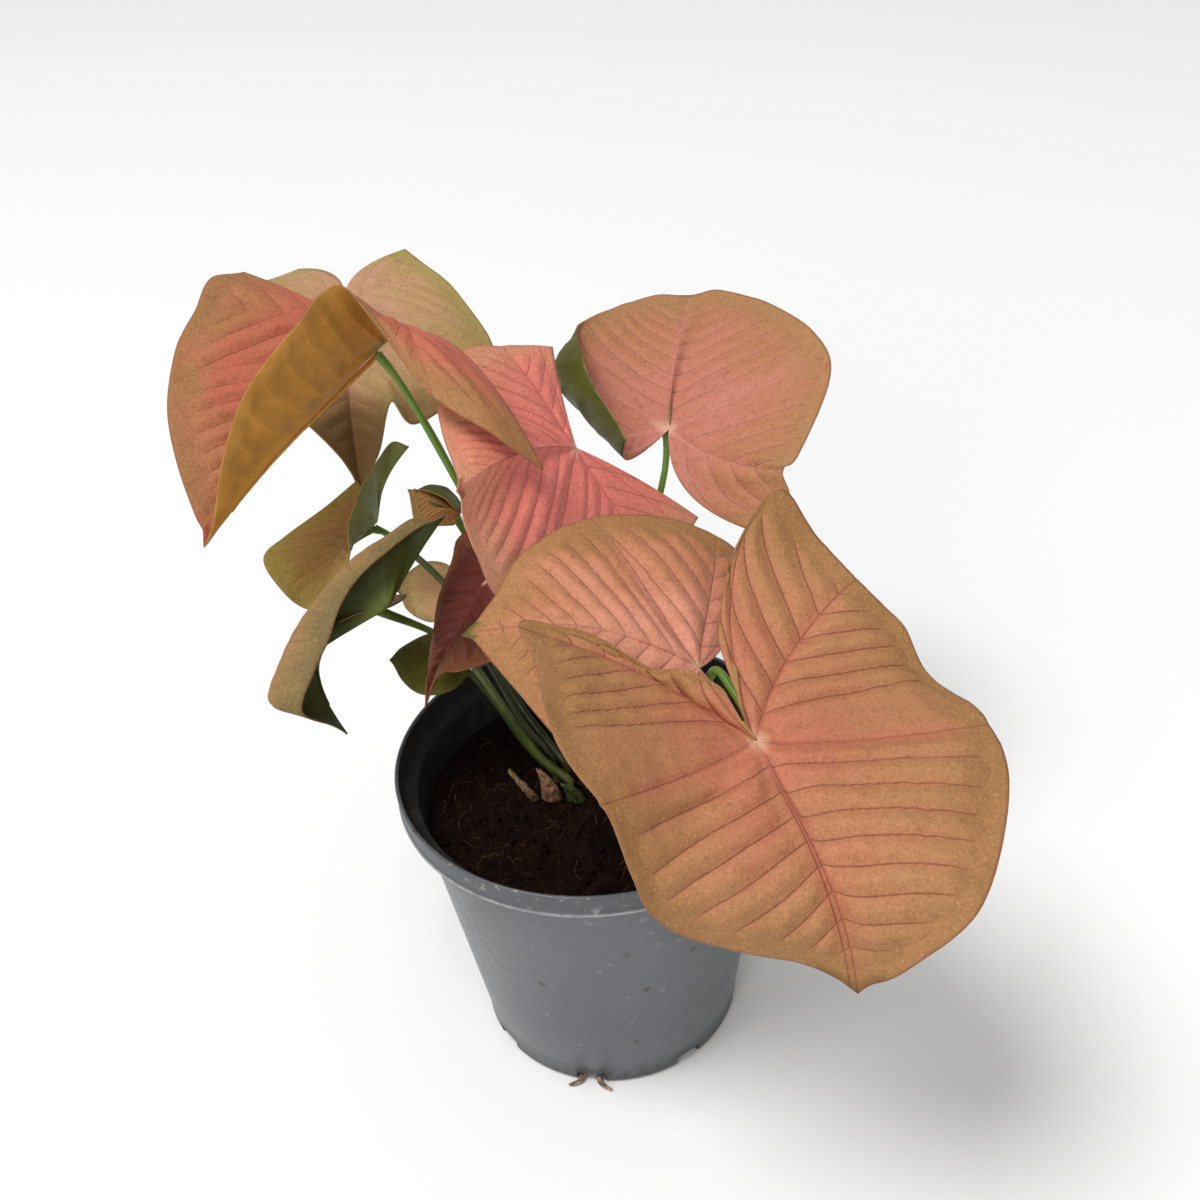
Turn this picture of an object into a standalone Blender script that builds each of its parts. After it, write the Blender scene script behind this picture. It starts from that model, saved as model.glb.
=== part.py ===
"""Arrowhead plant with pink leaves in a round nursery pot. Metres, +Z up, the front towards -Y."""

import math

import bmesh
import bpy
from mathutils import Matrix, Vector, noise

MM = 0.001

# Pot: a thin plastic cone with a wider band at the rim.
POT_HEIGHT = 102 * MM
POT_RIM_RADIUS = 60 * MM
POT_BAND_HEIGHT = 8 * MM
POT_BAND_FOOT_RADIUS = 59.2 * MM
POT_SHOULDER_RADIUS = 55 * MM
POT_BASE_RADIUS = 41 * MM
POT_WALL = 1.2 * MM
POT_FLOOR = 1.6 * MM
POT_SEGMENTS = 64
POT_FOOT_CHAMFER = (1 * MM, 2 * MM)
SCREW_MERGE = 0.00001
DRAIN_SLOTS = 8
DRAIN_SLOT_SIZE = (9 * MM, 7 * MM, 8 * MM)
DRAIN_SLOT_ANGLE = -102

# Soil: fills the pot to a little under the rim, with a low mound round the stems.
FIT_GAP = 0.3 * MM
SOIL_EDGE_HEIGHT = 84 * MM
SOIL_CROWN_HEIGHT = 88 * MM
SOIL_ROUGHNESS = 1.6 * MM
SOIL_LUMP = 9 * MM
SOIL_SEGMENTS = 40
SOIL_RINGS = 9
STEM_DEPTH = 78 * MM
STEM_HOLE_HEIGHT = 20 * MM
STEM_HOLE_SIDES = 12

# Leaves and stems.
BLADE_THICKNESS = 0.8 * MM
BLADE_STEPS_PER_VEIN = 2
BLADE_STEPS_OUT = 5
STEM_RADIUS = 1.3 * MM
STEM_TAPER = 0.25
STEM_TIP_SHARE = 0.5
STEM_STEPS = 3
STEM_TIP_DROP = 0.6 * MM

# Every leaf in millimetres: "base" is where the stem joins the blade, and each vein is its middle and its end on the
# margin. "left" and "right" run from the tip to the lobe, as seen from the base, and the last vein is the lobe's
# inner edge.
LEAVES = {
    "front": {
        "base": (40, -67, 158),
        "tip": ((51, -96, 146), (58, -108, 117)),
        "left": [
            ((55, -96, 145), (68, -112, 126)),
            ((63, -91, 151), (84, -111, 144)),
            ((69, -76, 155), (97, -82, 153)),
            ((70, -65, 157), (96, -61, 156)),
            ((67, -53, 159), (87, -43, 157)),
            ((62, -47, 161), (83, -32, 163)),
            ((56, -41, 164), (75, -24, 170)),
            ((48, -35, 168), (65, -10, 177)),
            ((42, -30, 172), (55, -2, 189)),
            ((37, -37, 170), (42, -16, 181)),
            ((36, -49, 165), (35, -34, 170)),
            ((38, -58, 162), (38, -49, 165)),
        ],
        "right": [
            ((43, -96, 147), (46, -106, 123)),
            ((33, -95, 151), (22, -105, 132)),
            ((28, -92, 154), (12, -107, 143)),
            ((24, -88, 156), (8, -106, 155)),
            ((22, -84, 160), (4, -102, 168)),
            ((20, -79, 163), (0, -96, 174)),
            ((18, -74, 166), (-6, -86, 179)),
            ((16, -67, 166), (-9, -74, 179)),
            ((15, -58, 167), (-11, -59, 180)),
            ((17, -51, 168), (-14, -45, 183)),
            ((21, -53, 164), (2, -45, 177)),
            ((26, -56, 164), (15, -50, 170)),
            ((31, -60, 165), (25, -53, 170)),
            ((36, -62, 163), (33, -57, 167)),
            ((37, -64, 161), (35, -60, 163)),
        ],
    },
    "inner": {
        "base": (29, -43, 163),
        "tip": ((2, -37, 174), (-29, -29, 169)),
        "left": [
            ((3, -39, 172), (-25, -35, 167)),
            ((7, -46, 166), (-17, -47, 163)),
            ((13, -53, 162), (-7, -61, 158)),
            ((21, -57, 158), (6, -71, 151)),
            ((28, -55, 155), (26, -68, 145)),
            ((36, -49, 155), (44, -58, 145)),
        ],
        "right": [
            ((5, -33, 175), (-22, -24, 175)),
            ((9, -27, 176), (-14, -15, 183)),
            ((17, -23, 174), (2, -5, 186)),
            ((27, -20, 172), (23, 3, 181)),
            ((36, -20, 166), (43, 4, 170)),
            ((38, -28, 160), (48, 1, 157)),
        ],
    },
    "middle": {
        "base": (2, 32, 188),
        "tip": ((-12, 15, 197), (-28, -6, 199)),
        "left": [
            ((-15, 13, 191), (-28, -7, 189)),
            ((-12, 8, 184), (-26, -8, 178)),
            ((-8, 7, 178), (-21, -9, 165)),
            ((0, 10, 170), (-5, -2, 155)),
            ((11, 22, 168), (20, 13, 150)),
            ((20, 37, 173), (37, 40, 157)),
        ],
        "right": [
            ((-14, 19, 198), (-30, 1, 203)),
            ((-14, 26, 200), (-34, 18, 204)),
            ((-14, 32, 201), (-35, 32, 208)),
            ((-12, 38, 202), (-28, 46, 214)),
            ((-7, 44, 200), (-16, 56, 211)),
            ((-1, 48, 196), (-3, 65, 205)),
        ],
    },
    "right": {
        "base": (31, 70, 172),
        "tip": ((36, 96, 187), (44, 127, 192)),
        "left": [
            ((32, 98, 186), (32, 129, 192)),
            ((22, 95, 184), (17, 120, 193)),
            ((10, 94, 185), (5, 102, 195)),
            ((-1, 90, 186), (6, 76, 196)),
            ((-1, 82, 182), (8, 67, 192)),
            ((5, 71, 178), (12, 58, 188)),
            ((18, 58, 169), (17, 50, 180)),
        ],
        "right": [
            ((41, 98, 185), (55, 124, 194)),
            ((50, 88, 185), (72, 103, 195)),
            ((56, 71, 180), (82, 73, 190)),
            ((50, 58, 173), (68, 45, 174)),
            ((46, 54, 168), (63, 43, 169)),
            ((41, 53, 163), (64, 39, 161)),
            ((34, 53, 160), (51, 38, 153)),
        ],
    },
    "tall": {
        "base": (-51, 51, 216),
        "tip": ((-73, 24, 205), (-98, 0, 186)),
        "left": [
            ((-73, 21, 209), (-95, 1, 194)),
            ((-72, 20, 212), (-90, 4, 208)),
            ((-69, 23, 218), (-82, 10, 223)),
            ((-62, 31, 224), (-70, 22, 234)),
            ((-54, 45, 228), (-57, 39, 238)),
            ((-44, 40, 227), (-37, 20, 215)),
            ((-35, 36, 222), (-18, 8, 205)),
            ((-29, 38, 219), (-7, 8, 195)),
        ],
        "right": [
            ((-75, 28, 211), (-101, 3, 193)),
            ((-76, 33, 214), (-105, 12, 205)),
            ((-76, 38, 217), (-107, 23, 215)),
            ((-74, 46, 221), (-105, 37, 226)),
            ((-72, 53, 224), (-101, 48, 231)),
            ((-70, 58, 225), (-98, 60, 235)),
            ((-69, 62, 225), (-90, 68, 234)),
        ],
    },
    "back": {
        "base": (-70, 110, 205),
        "tip": ((-70, 91, 186), (-68, 69, 160)),
        "left": [
            ((-67, 90, 187), (-61, 73, 170)),
            ((-62, 96, 194), (-56, 82, 183)),
            ((-57, 98, 193), (-49, 79, 176)),
            ((-50, 103, 196), (-31, 91, 182)),
            ((-48, 111, 201), (-23, 106, 188)),
            ((-55, 120, 206), (-36, 126, 202)),
            ((-67, 125, 210), (-52, 142, 211)),
        ],
        "right": [
            ((-73, 88, 187), (-73, 70, 171)),
            ((-77, 88, 194), (-81, 71, 182)),
            ((-82, 91, 203), (-93, 74, 196)),
            ((-85, 97, 209), (-100, 87, 209)),
            ((-86, 108, 211), (-104, 106, 213)),
            ((-74, 124, 210), (-88, 136, 209)),
        ],
    },
    "curled": {
        "base": (-55, 7, 155),
        "tip": ((-75, -2, 150), (-71, -10, 126)),
        "left": [
            ((-86, -11, 144), (-78, -21, 141)),
            ((-83, -7, 151), (-74, -14, 150)),
            ((-79, 0, 156), (-70, -9, 156)),
            ((-72, 6, 162), (-66, -2, 163)),
            ((-64, 12, 167), (-61, 5, 167)),
            ((-54, 17, 171), (-53, 11, 171)),
            ((-47, 21, 172), (-44, 18, 174)),
            ((-48, 16, 162), (-37, 22, 175)),
        ],
        "right": [
            ((-76, 4, 144), (-76, -1, 124)),
            ((-72, 11, 146), (-79, 10, 134)),
            ((-67, 15, 148), (-73, 21, 140)),
            ((-61, 15, 150), (-64, 25, 145)),
            ((-57, 15, 152), (-57, 22, 149)),
            ((-52, 13, 153), (-51, 19, 151)),
        ],
    },
    "left": {
        "base": (-61, 47, 160),
        "tip": ((-71, 28, 161), (-75, 14, 152)),
        "left": [
            ((-68, 28, 163), (-69, 15, 159)),
            ((-65, 32, 163), (-66, 21, 164)),
            ((-63, 38, 165), (-67, 32, 168)),
            ((-61, 44, 168), (-63, 42, 175)),
            ((-60, 50, 170), (-58, 51, 179)),
            ((-58, 53, 171), (-54, 58, 181)),
            ((-58, 53, 169), (-49, 58, 179)),
        ],
        "right": [
            ((-75, 30, 159), (-81, 17, 150)),
            ((-76, 35, 160), (-87, 20, 155)),
            ((-77, 40, 160), (-93, 30, 160)),
            ((-74, 46, 160), (-88, 41, 161)),
            ((-69, 53, 161), (-77, 53, 163)),
            ((-64, 57, 162), (-68, 65, 165)),
        ],
    },
    "shaded": {
        "base": (-27, 17, 155),
        "tip": ((-39, 8, 141), (-48, 1, 124)),
        "left": [
            ((-35, 6, 146), (-42, -3, 137)),
            ((-31, 5, 148), (-35, -7, 141)),
            ((-26, 4, 152), (-23, -9, 147)),
            ((-22, 7, 155), (-17, -3, 153)),
            ((-21, 13, 159), (-15, 8, 160)),
            ((-23, 18, 160), (-18, 18, 164)),
        ],
        "right": [
            ((-39, 10, 143), (-46, 4, 133)),
            ((-39, 16, 146), (-45, 13, 138)),
            ((-36, 20, 149), (-43, 23, 146)),
            ((-32, 24, 153), (-38, 31, 154)),
            ((-29, 25, 157), (-36, 33, 159)),
            ((-26, 24, 159), (-32, 34, 163)),
        ],
    },
    "folded": {
        "base": (-34, 40, 165),
        "tip": ((-42, 38, 171), (-49, 42, 173)),
        "left": [
            ((-41, 38, 169), (-48, 36, 171)),
            ((-39, 37, 168), (-47, 33, 167)),
            ((-37, 37, 165), (-41, 32, 166)),
            ((-35, 39, 164), (-36, 35, 164)),
        ],
        "right": [
            ((-42, 45, 171), (-44, 40, 173)),
            ((-38, 46, 170), (-39, 39, 171)),
            ((-36, 46, 167), (-36, 38, 168)),
            ((-34, 43, 165), (-35, 39, 166)),
        ],
    },
    "low": {
        "base": (-40, 21, 128),
        "tip": ((-50, 20, 129), (-59, 19, 128)),
        "left": [
            ((-49, 15, 127), (-55, 11, 125)),
            ((-44, 14, 125), (-49, 7, 123)),
            ((-40, 15, 125), (-41, 9, 122)),
            ((-37, 18, 126), (-35, 15, 124)),
        ],
        "right": [
            ((-49, 24, 129), (-56, 23, 129)),
            ((-45, 26, 129), (-49, 29, 129)),
            ((-41, 27, 129), (-42, 32, 128)),
            ((-37, 25, 128), (-36, 29, 128)),
        ],
    },
    "small": {
        "base": (-42, 42, 135),
        "tip": ((-49, 42, 138), (-56, 37, 141)),
        "left": [
            ((-48, 37, 136), (-53, 30, 138)),
            ((-45, 36, 135), (-47, 30, 133)),
            ((-42, 37, 133), (-42, 34, 132)),
            ((-40, 41, 133), (-38, 39, 132)),
        ],
        "right": [
            ((-49, 46, 139), (-54, 44, 142)),
            ((-46, 49, 138), (-49, 52, 141)),
            ((-43, 50, 136), (-43, 55, 138)),
            ((-40, 47, 135), (-38, 51, 135)),
        ],
    },
}

# Stems in millimetres, from the soil's surface up to a little short of the blade's base.
STEMS = {
    "front": [(8, 1, 91), (19, -24, 124), (30, -34, 148), (33, -42, 161), (36, -49, 161), (39, -57, 158)],
    "inner": [(3, -2, 91), (13, -24, 123), (25, -37, 151)],
    "middle": [(3, 12, 91), (2, 25, 131), (3, 34, 163)],
    "right": [(8, 11, 91), (11, 33, 118), (23, 56, 144), (29, 66, 160)],
    "tall": [(-3, 10, 91), (-12, 25, 117), (-21, 35, 136), (-27, 39, 155), (-33, 37, 175), (-46, 46, 203)],
    "back": [(-3, 16, 91), (-18, 34, 113), (-33, 68, 145), (-49, 94, 172)],
    "curled": [(-8, 0, 91), (-17, 5, 98), (-26, 8, 115), (-34, 12, 129), (-41, 16, 134), (-46, 17, 139)],
    "left": [(-9, 8, 91), (-23, 23, 106), (-34, 31, 132), (-44, 35, 147), (-57, 44, 156)],
    "shaded": [(-4, 4, 91), (-17, 10, 116), (-23, 19, 140)],
    "folded": [(-8, 13, 91), (-24, 36, 112), (-32, 46, 144)],
    "low": [(-12, 4, 91), (-21, 13, 96), (-32, 20, 113)],
    "small": [(-13, 12, 91), (-23, 30, 92), (-36, 47, 113)],
}

# Linear colours of the upper faces, the mean over each leaf.
LEAF_COLOURS = {
    "front": (0.42, 0.2, 0.1),
    "inner": (0.46, 0.2, 0.12),
    "middle": (0.58, 0.2, 0.14),
    "right": (0.48, 0.23, 0.17),
    "tall": (0.5, 0.2, 0.12),
    "back": (0.44, 0.27, 0.16),
    "curled": (0.36, 0.24, 0.15),
    "left": (0.32, 0.23, 0.12),
    "shaded": (0.22, 0.06, 0.045),
    "folded": (0.26, 0.2, 0.1),
    "low": (0.16, 0.14, 0.05),
    "small": (0.42, 0.28, 0.17),
}

# Short sheaths at the crown, in millimetres: the withered one stands in front, left of the stems.
SHEATHS = {
    "sheath_withered": {
        "spine": [(-20, -4, 87.2), (-21, -5, 92), (-23, -5, 96), (-26, -3, 99)],
        "half_width": 2.5,
        "cup": 1.2,
        "faces": -110,
        "colour": (0.3, 0.2, 0.09),
    },
    "sheath_pink": {
        "spine": [(-14, -6, 88), (-14, -7, 93), (-15, -7, 97), (-17, -6, 101)],
        "half_width": 2.2,
        "cup": 1.0,
        "faces": -100,
        "colour": (0.42, 0.26, 0.15),
    },
    "sheath_green": {
        "spine": [(-6, -7, 87.8), (-7, -8, 92), (-8, -9, 95), (-10, -10, 98)],
        "half_width": 2.4,
        "cup": 1.2,
        "faces": -90,
        "colour": (0.2, 0.26, 0.06),
    },
}
SHEATH_STEPS_ACROSS = 4
SHEATH_STEPS_ALONG = 5
SHEATH_POINT = 0.8

# Root tips in millimetres: they leave by the front drain slots and lie on the ground.
ROOT_RADIUS = 0.9 * MM
ROOT_TIP_SHARE = 0.5
ROOTS = {
    "root_front": [(-6.5, -40.0, 1.6), (-6, -41.8, 1.2), (-4.5, -43.6, 1.0), (-2.5, -45, 0.95)],
    "root_left": [(-11, -38.8, 2.0), (-12, -40.6, 1.3), (-14, -41.6, 1.0), (-16, -41.8, 0.95)],
}


def principled(name, colour, roughness):
    material = bpy.data.materials.new(name)
    material.use_nodes = True
    shader = material.node_tree.nodes["Principled BSDF"]
    shader.inputs["Base Color"].default_value = (*colour, 1)
    shader.inputs["Roughness"].default_value = roughness
    shader.inputs["Metallic"].default_value = 0
    material.diffuse_color = (*colour, 1)
    return material


def collection(name):
    if name not in bpy.data.collections:
        bpy.context.scene.collection.children.link(bpy.data.collections.new(name))
    return bpy.data.collections[name]


def add_object(name, data, material):
    data.materials.append(material)
    made = bpy.data.objects.new(name, data)
    collection("arrowhead_plant").objects.link(made)
    return made


def add_cutter(name, mesh):
    data = bpy.data.meshes.new(name)
    mesh.to_mesh(data)
    mesh.free()
    made = bpy.data.objects.new(name, data)
    collection("cutters").objects.link(made)
    made.hide_render = True
    made.display_type = "WIRE"
    return made


def along(points, t):
    """The point at t, from 0 to 1, on the smooth curve through evenly timed points."""
    points = [Vector(point) for point in points]
    points = [2 * points[0] - points[1], *points, 2 * points[-1] - points[-2]]
    spans = len(points) - 3
    x = min(max(t, 0), 1) * spans
    i = min(int(x), spans - 1)
    u = x - i
    a, b, c, d = points[i : i + 4]
    return 0.5 * (2 * b + (c - a) * u + (2 * a - 5 * b + 4 * c - d) * u**2 + (3 * b - a - 3 * c + d) * u**3)


def blade_point(leaf, side, s, r):
    """The upper face at s, 0 on the midrib to 1 on the lobe's inner edge, and r, 0 at the base to 1 on the margin."""
    veins = [leaf["tip"], *leaf[side]]
    middle = along([vein[0] for vein in veins], s)
    end = along([vein[1] for vein in veins], s)
    base = Vector(leaf["base"])
    return (base * (1 - r) * (1 - 2 * r) + middle * 4 * r * (1 - r) + end * r * (2 * r - 1)) * MM


def blade_mesh(name, leaf):
    left_steps = BLADE_STEPS_PER_VEIN * len(leaf["left"])
    right_steps = BLADE_STEPS_PER_VEIN * len(leaf["right"])
    mesh = bmesh.new()
    bmesh.ops.create_grid(mesh, x_segments=left_steps + right_steps, y_segments=BLADE_STEPS_OUT, size=1)
    base = Vector(leaf["base"]) * MM
    at_base = []
    for vertex in mesh.verts:
        step = (vertex.co.x + 1) / 2 * (left_steps + right_steps) - left_steps
        r = (vertex.co.y + 1) / 2
        if step < 0:
            vertex.co = blade_point(leaf, "left", -step / left_steps, r)
        else:
            vertex.co = blade_point(leaf, "right", step / right_steps, r)
        if r < 0.5 / BLADE_STEPS_OUT:
            at_base.append(vertex)
    bmesh.ops.pointmerge(mesh, verts=at_base, merge_co=base)
    bmesh.ops.triangulate(mesh, faces=mesh.faces)
    data = bpy.data.meshes.new(name)
    mesh.to_mesh(data)
    mesh.free()
    data.shade_smooth()
    return data


def add_blade(name, data, material):
    made = add_object(name, data, material)
    solid = made.modifiers.new("Thickness", "SOLIDIFY")
    solid.thickness = BLADE_THICKNESS
    solid.offset = -1


def under_blade(leaf):
    """Where a stem's end sits, just under the blade's base."""
    base = Vector(leaf["base"])
    forward = Vector(leaf["tip"][0]) - base
    normal = Vector((0, 0, 0))
    for left, right in zip(leaf["left"][1:4], leaf["right"][1:4]):
        normal += forward.cross(Vector(left[0]) - base).normalized()
        normal += (Vector(right[0]) - base).cross(forward).normalized()
    return base * MM - normal.normalized() * (BLADE_THICKNESS + FIT_GAP + STEM_TIP_DROP)


def tube(name, points, radii, material):
    data = bpy.data.curves.new(name, "CURVE")
    data.dimensions = "3D"
    data.bevel_depth = 1
    data.bevel_resolution = 2
    data.use_fill_caps = True
    spline = data.splines.new("POLY")
    spline.points.add(len(points) - 1)
    for place, point, radius in zip(spline.points, points, radii):
        place.co = (*point, 1)
        place.radius = radius
    return add_object(name, data, material)


def stem_foot(route):
    return Vector((route[0][0] * MM, route[0][1] * MM, STEM_DEPTH))


def add_stem(name, route, leaf, material):
    route = [Vector(point) * MM for point in route] + [under_blade(leaf)]
    steps = STEM_STEPS * (len(route) - 1)
    curved = [along(route, step / steps) for step in range(steps + 1)]
    points = [Vector((route[0].x, route[0].y, STEM_DEPTH)), *curved]
    radii = [STEM_RADIUS] * 2 + [STEM_RADIUS * (1 - STEM_TAPER * step / steps) for step in range(1, steps)]
    return tube(name, points, [*radii, STEM_RADIUS * STEM_TIP_SHARE], material)


def spun(name, profile, segments, material):
    """A solid turned from a profile of (radius, height), which runs from the top down its outer side."""
    data = bpy.data.meshes.new(name)
    edges = [(i, i + 1) for i in range(len(profile) - 1)]
    data.from_pydata([(radius, 0, height) for radius, height in profile], edges, [])
    made = add_object(name, data, material)
    screw = made.modifiers.new("Turn", "SCREW")
    screw.steps = screw.render_steps = segments
    screw.use_merge_vertices = True
    screw.merge_threshold = SCREW_MERGE
    screw.use_smooth_shade = True
    return made


def cut(body, cutter, name):
    boolean = body.modifiers.new(name, "BOOLEAN")
    boolean.object = cutter
    boolean.operation = "DIFFERENCE"
    boolean.solver = "EXACT"


def add_pot(material):
    ledge = POT_HEIGHT - POT_BAND_HEIGHT
    profile = [
        (POT_RIM_RADIUS - POT_WALL, POT_HEIGHT),
        (POT_RIM_RADIUS, POT_HEIGHT),
        (POT_BAND_FOOT_RADIUS, ledge),
        (POT_SHOULDER_RADIUS, ledge),
        (POT_BASE_RADIUS + POT_FOOT_CHAMFER[0], POT_FOOT_CHAMFER[1]),
        (POT_BASE_RADIUS, 0),
        (0, 0),
        (0, POT_FLOOR),
        (inner_radius(POT_FLOOR), POT_FLOOR),
        (inner_radius(ledge + POT_WALL), ledge + POT_WALL),
        (POT_BAND_FOOT_RADIUS - POT_WALL, ledge + POT_WALL),
        (POT_RIM_RADIUS - POT_WALL, POT_HEIGHT),
    ]
    pot = spun("pot", profile, POT_SEGMENTS, material)
    mesh = bmesh.new()
    for index in range(DRAIN_SLOTS):
        angle = math.radians(DRAIN_SLOT_ANGLE + 360 * index / DRAIN_SLOTS)
        made = bmesh.ops.create_cube(mesh, size=1)["verts"]
        bmesh.ops.scale(mesh, verts=made, vec=(DRAIN_SLOT_SIZE[1], DRAIN_SLOT_SIZE[0], DRAIN_SLOT_SIZE[2]))
        bmesh.ops.translate(mesh, verts=made, vec=(POT_BASE_RADIUS, 0, 0))
        bmesh.ops.rotate(mesh, verts=made, cent=(0, 0, 0), matrix=Matrix.Rotation(angle, 3, "Z"))
    cut(pot, add_cutter("drain_cutter", mesh), "Drain slots")
    return pot


def inner_radius(height):
    """The pot wall's inner radius at a height below the rim band."""
    taper = (POT_SHOULDER_RADIUS - POT_BASE_RADIUS) / (POT_HEIGHT - POT_BAND_HEIGHT)
    return POT_BASE_RADIUS - POT_WALL + taper * height


def add_soil(material, feet):
    bottom = POT_FLOOR + FIT_GAP
    edge_radius = inner_radius(SOIL_EDGE_HEIGHT) - FIT_GAP
    profile = [(0, bottom), (inner_radius(bottom) - FIT_GAP, bottom), (edge_radius, SOIL_EDGE_HEIGHT)]
    for ring in range(1, SOIL_RINGS + 1):
        share = 1 - ring / SOIL_RINGS
        rise = (SOIL_CROWN_HEIGHT - SOIL_EDGE_HEIGHT) * (0.5 + 0.5 * math.cos(math.pi * share))
        profile.append((edge_radius * share, SOIL_EDGE_HEIGHT + rise))
    turned = spun("soil_profile", profile[::-1], SOIL_SEGMENTS, material)
    data = bpy.data.meshes.new_from_object(turned.evaluated_get(bpy.context.evaluated_depsgraph_get()))
    bpy.data.objects.remove(turned)
    for vertex in data.vertices:
        inside = vertex.co.xy.length < edge_radius - 1 * MM
        if inside and vertex.co.z > STEM_DEPTH:
            vertex.co.z += SOIL_ROUGHNESS * noise.noise(Vector((vertex.co.x, vertex.co.y, 0)) / SOIL_LUMP)
    data.materials.clear()
    soil = add_object("soil", data, material)
    mesh = bmesh.new()
    for foot in feet:
        made = bmesh.ops.create_cone(
            mesh,
            cap_ends=True,
            segments=STEM_HOLE_SIDES,
            radius1=STEM_RADIUS + FIT_GAP,
            radius2=STEM_RADIUS + FIT_GAP,
            depth=STEM_HOLE_HEIGHT,
        )["verts"]
        centre = foot + Vector((0, 0, STEM_HOLE_HEIGHT / 2 - FIT_GAP))
        bmesh.ops.translate(mesh, verts=made, vec=centre)
    cut(soil, add_cutter("stem_hole_cutter", mesh), "Stem holes")
    return soil


def sheath_mesh(name, sheath):
    """A short cupped strip that stands beside the stems: its spine, half width and cup, all in millimetres."""
    mesh = bmesh.new()
    bmesh.ops.create_grid(mesh, x_segments=SHEATH_STEPS_ACROSS, y_segments=SHEATH_STEPS_ALONG, size=1)
    for vertex in mesh.verts:
        across = vertex.co.x
        share = (vertex.co.y + 1) / 2
        centre = along(sheath["spine"], share)
        heading = math.radians(sheath["faces"])
        outward = Vector((math.cos(heading), math.sin(heading), 0))
        sideways = Vector((-math.sin(heading), math.cos(heading), 0))
        half = sheath["half_width"] * (1 - SHEATH_POINT * share**2)
        vertex.co = (centre + sideways * across * half - outward * sheath["cup"] * across**2) * MM
    bmesh.ops.triangulate(mesh, faces=mesh.faces)
    data = bpy.data.meshes.new(name)
    mesh.to_mesh(data)
    mesh.free()
    data.shade_smooth()
    return data


def build():
    for existing in list(bpy.data.objects):
        bpy.data.objects.remove(existing, do_unlink=True)
    plastic = principled("pot_plastic", (0.14, 0.148, 0.162), 0.45)
    earth = principled("soil_earth", (0.025, 0.014, 0.009), 0.95)
    stem_green = principled("stem_green", (0.16, 0.24, 0.05), 0.5)
    root_pale = principled("root_pale", (0.42, 0.3, 0.2), 0.8)
    add_pot(plastic)
    add_soil(earth, [stem_foot(route) for route in STEMS.values()])
    for name, leaf in LEAVES.items():
        colour = principled("blade_" + name, LEAF_COLOURS[name], 0.55)
        add_blade("leaf_" + name, blade_mesh("leaf_" + name, leaf), colour)
        add_stem("stem_" + name, STEMS[name], leaf, stem_green)
    for name, sheath in SHEATHS.items():
        colour = principled(name, sheath["colour"], 0.7)
        add_blade(name, sheath_mesh(name, sheath), colour)
    for name, points in ROOTS.items():
        radii = [ROOT_RADIUS] * (len(points) - 1) + [ROOT_RADIUS * ROOT_TIP_SHARE]
        tube(name, [Vector(point) * MM for point in points], radii, root_pale)


if __name__ == "__main__":
    build()
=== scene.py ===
"""Looks of a pink arrowhead plant in a grey nursery pot. Metres, +Z up, the front towards -Y."""

import math
import random

import bmesh
import bpy
from mathutils import Matrix, Vector, noise


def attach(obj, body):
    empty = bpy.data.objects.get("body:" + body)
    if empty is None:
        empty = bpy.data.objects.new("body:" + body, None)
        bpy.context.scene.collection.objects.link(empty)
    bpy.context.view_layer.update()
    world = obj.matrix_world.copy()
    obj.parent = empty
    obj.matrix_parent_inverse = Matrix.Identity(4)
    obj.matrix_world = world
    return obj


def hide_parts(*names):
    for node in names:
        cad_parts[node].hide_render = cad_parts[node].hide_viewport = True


bl_info = {
    "name": "Arrowhead plant in a pot",
    "version": (1, 0, 0),
    "blender": (4, 5, 0),
    "location": "3D View > Sidebar > Arrowhead plant",
    "description": "Makes the leaves, stalks, soil and pot of a pink arrowhead plant, and its stage",
    "category": "Add Mesh",
}

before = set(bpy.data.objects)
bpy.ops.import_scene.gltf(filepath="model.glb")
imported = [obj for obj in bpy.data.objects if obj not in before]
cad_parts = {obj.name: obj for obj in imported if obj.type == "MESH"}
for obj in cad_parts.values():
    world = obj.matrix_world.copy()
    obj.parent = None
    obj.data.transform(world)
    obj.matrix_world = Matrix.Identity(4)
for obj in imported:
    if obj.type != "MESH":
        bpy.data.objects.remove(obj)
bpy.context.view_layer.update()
MM = 0.001

# Camera: the photograph's view. Angles are in degrees, and the lens and sensor in millimetres.
CAMERA_PLACE = (5.37 * MM, -323.82 * MM, 375.9 * MM)
CAMERA_ELEVATION = 34.1
CAMERA_ROLL = -4.3
CAMERA_LENS = 42
CAMERA_SENSOR = 36

# Stage, in metres and watts: each light's place, its size and its power.
FLOOR_RADIUS = 6
SOFTBOXES = {
    "top_softbox": ((-1.6, -1.0, 4.6), 2.2, 165),
    "front_softbox": ((-1.6, -3.8, 2.2), 1.8, 44),
}
LIGHTS_AIM = (0, 0, 0.12)
WORLD_LIGHT = 0.49

# Seed of all that is random: the crumbs, the fibres and the wander of the veins.
CHANCE_SEED = 4

# Everything below is in millimetres, apart from colours, shares and angles.
CENTIMETRE = 10

# Pot, as in the solids.
POT_HEIGHT = 102
POT_RIM_RADIUS = 60
POT_BAND_HEIGHT = 8
POT_BAND_FOOT_RADIUS = 59.2
POT_SHOULDER_RADIUS = 55
POT_BASE_RADIUS = 41
POT_WALL = 1.2
POT_FLOOR = 1.6
POT_BEAD = 0.7
POT_SEGMENTS = 192
DRAIN_SLOTS = 8
DRAIN_SLOT_SIZE = (7, 9, 8)
DRAIN_SLOT_ANGLE = -102

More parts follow.
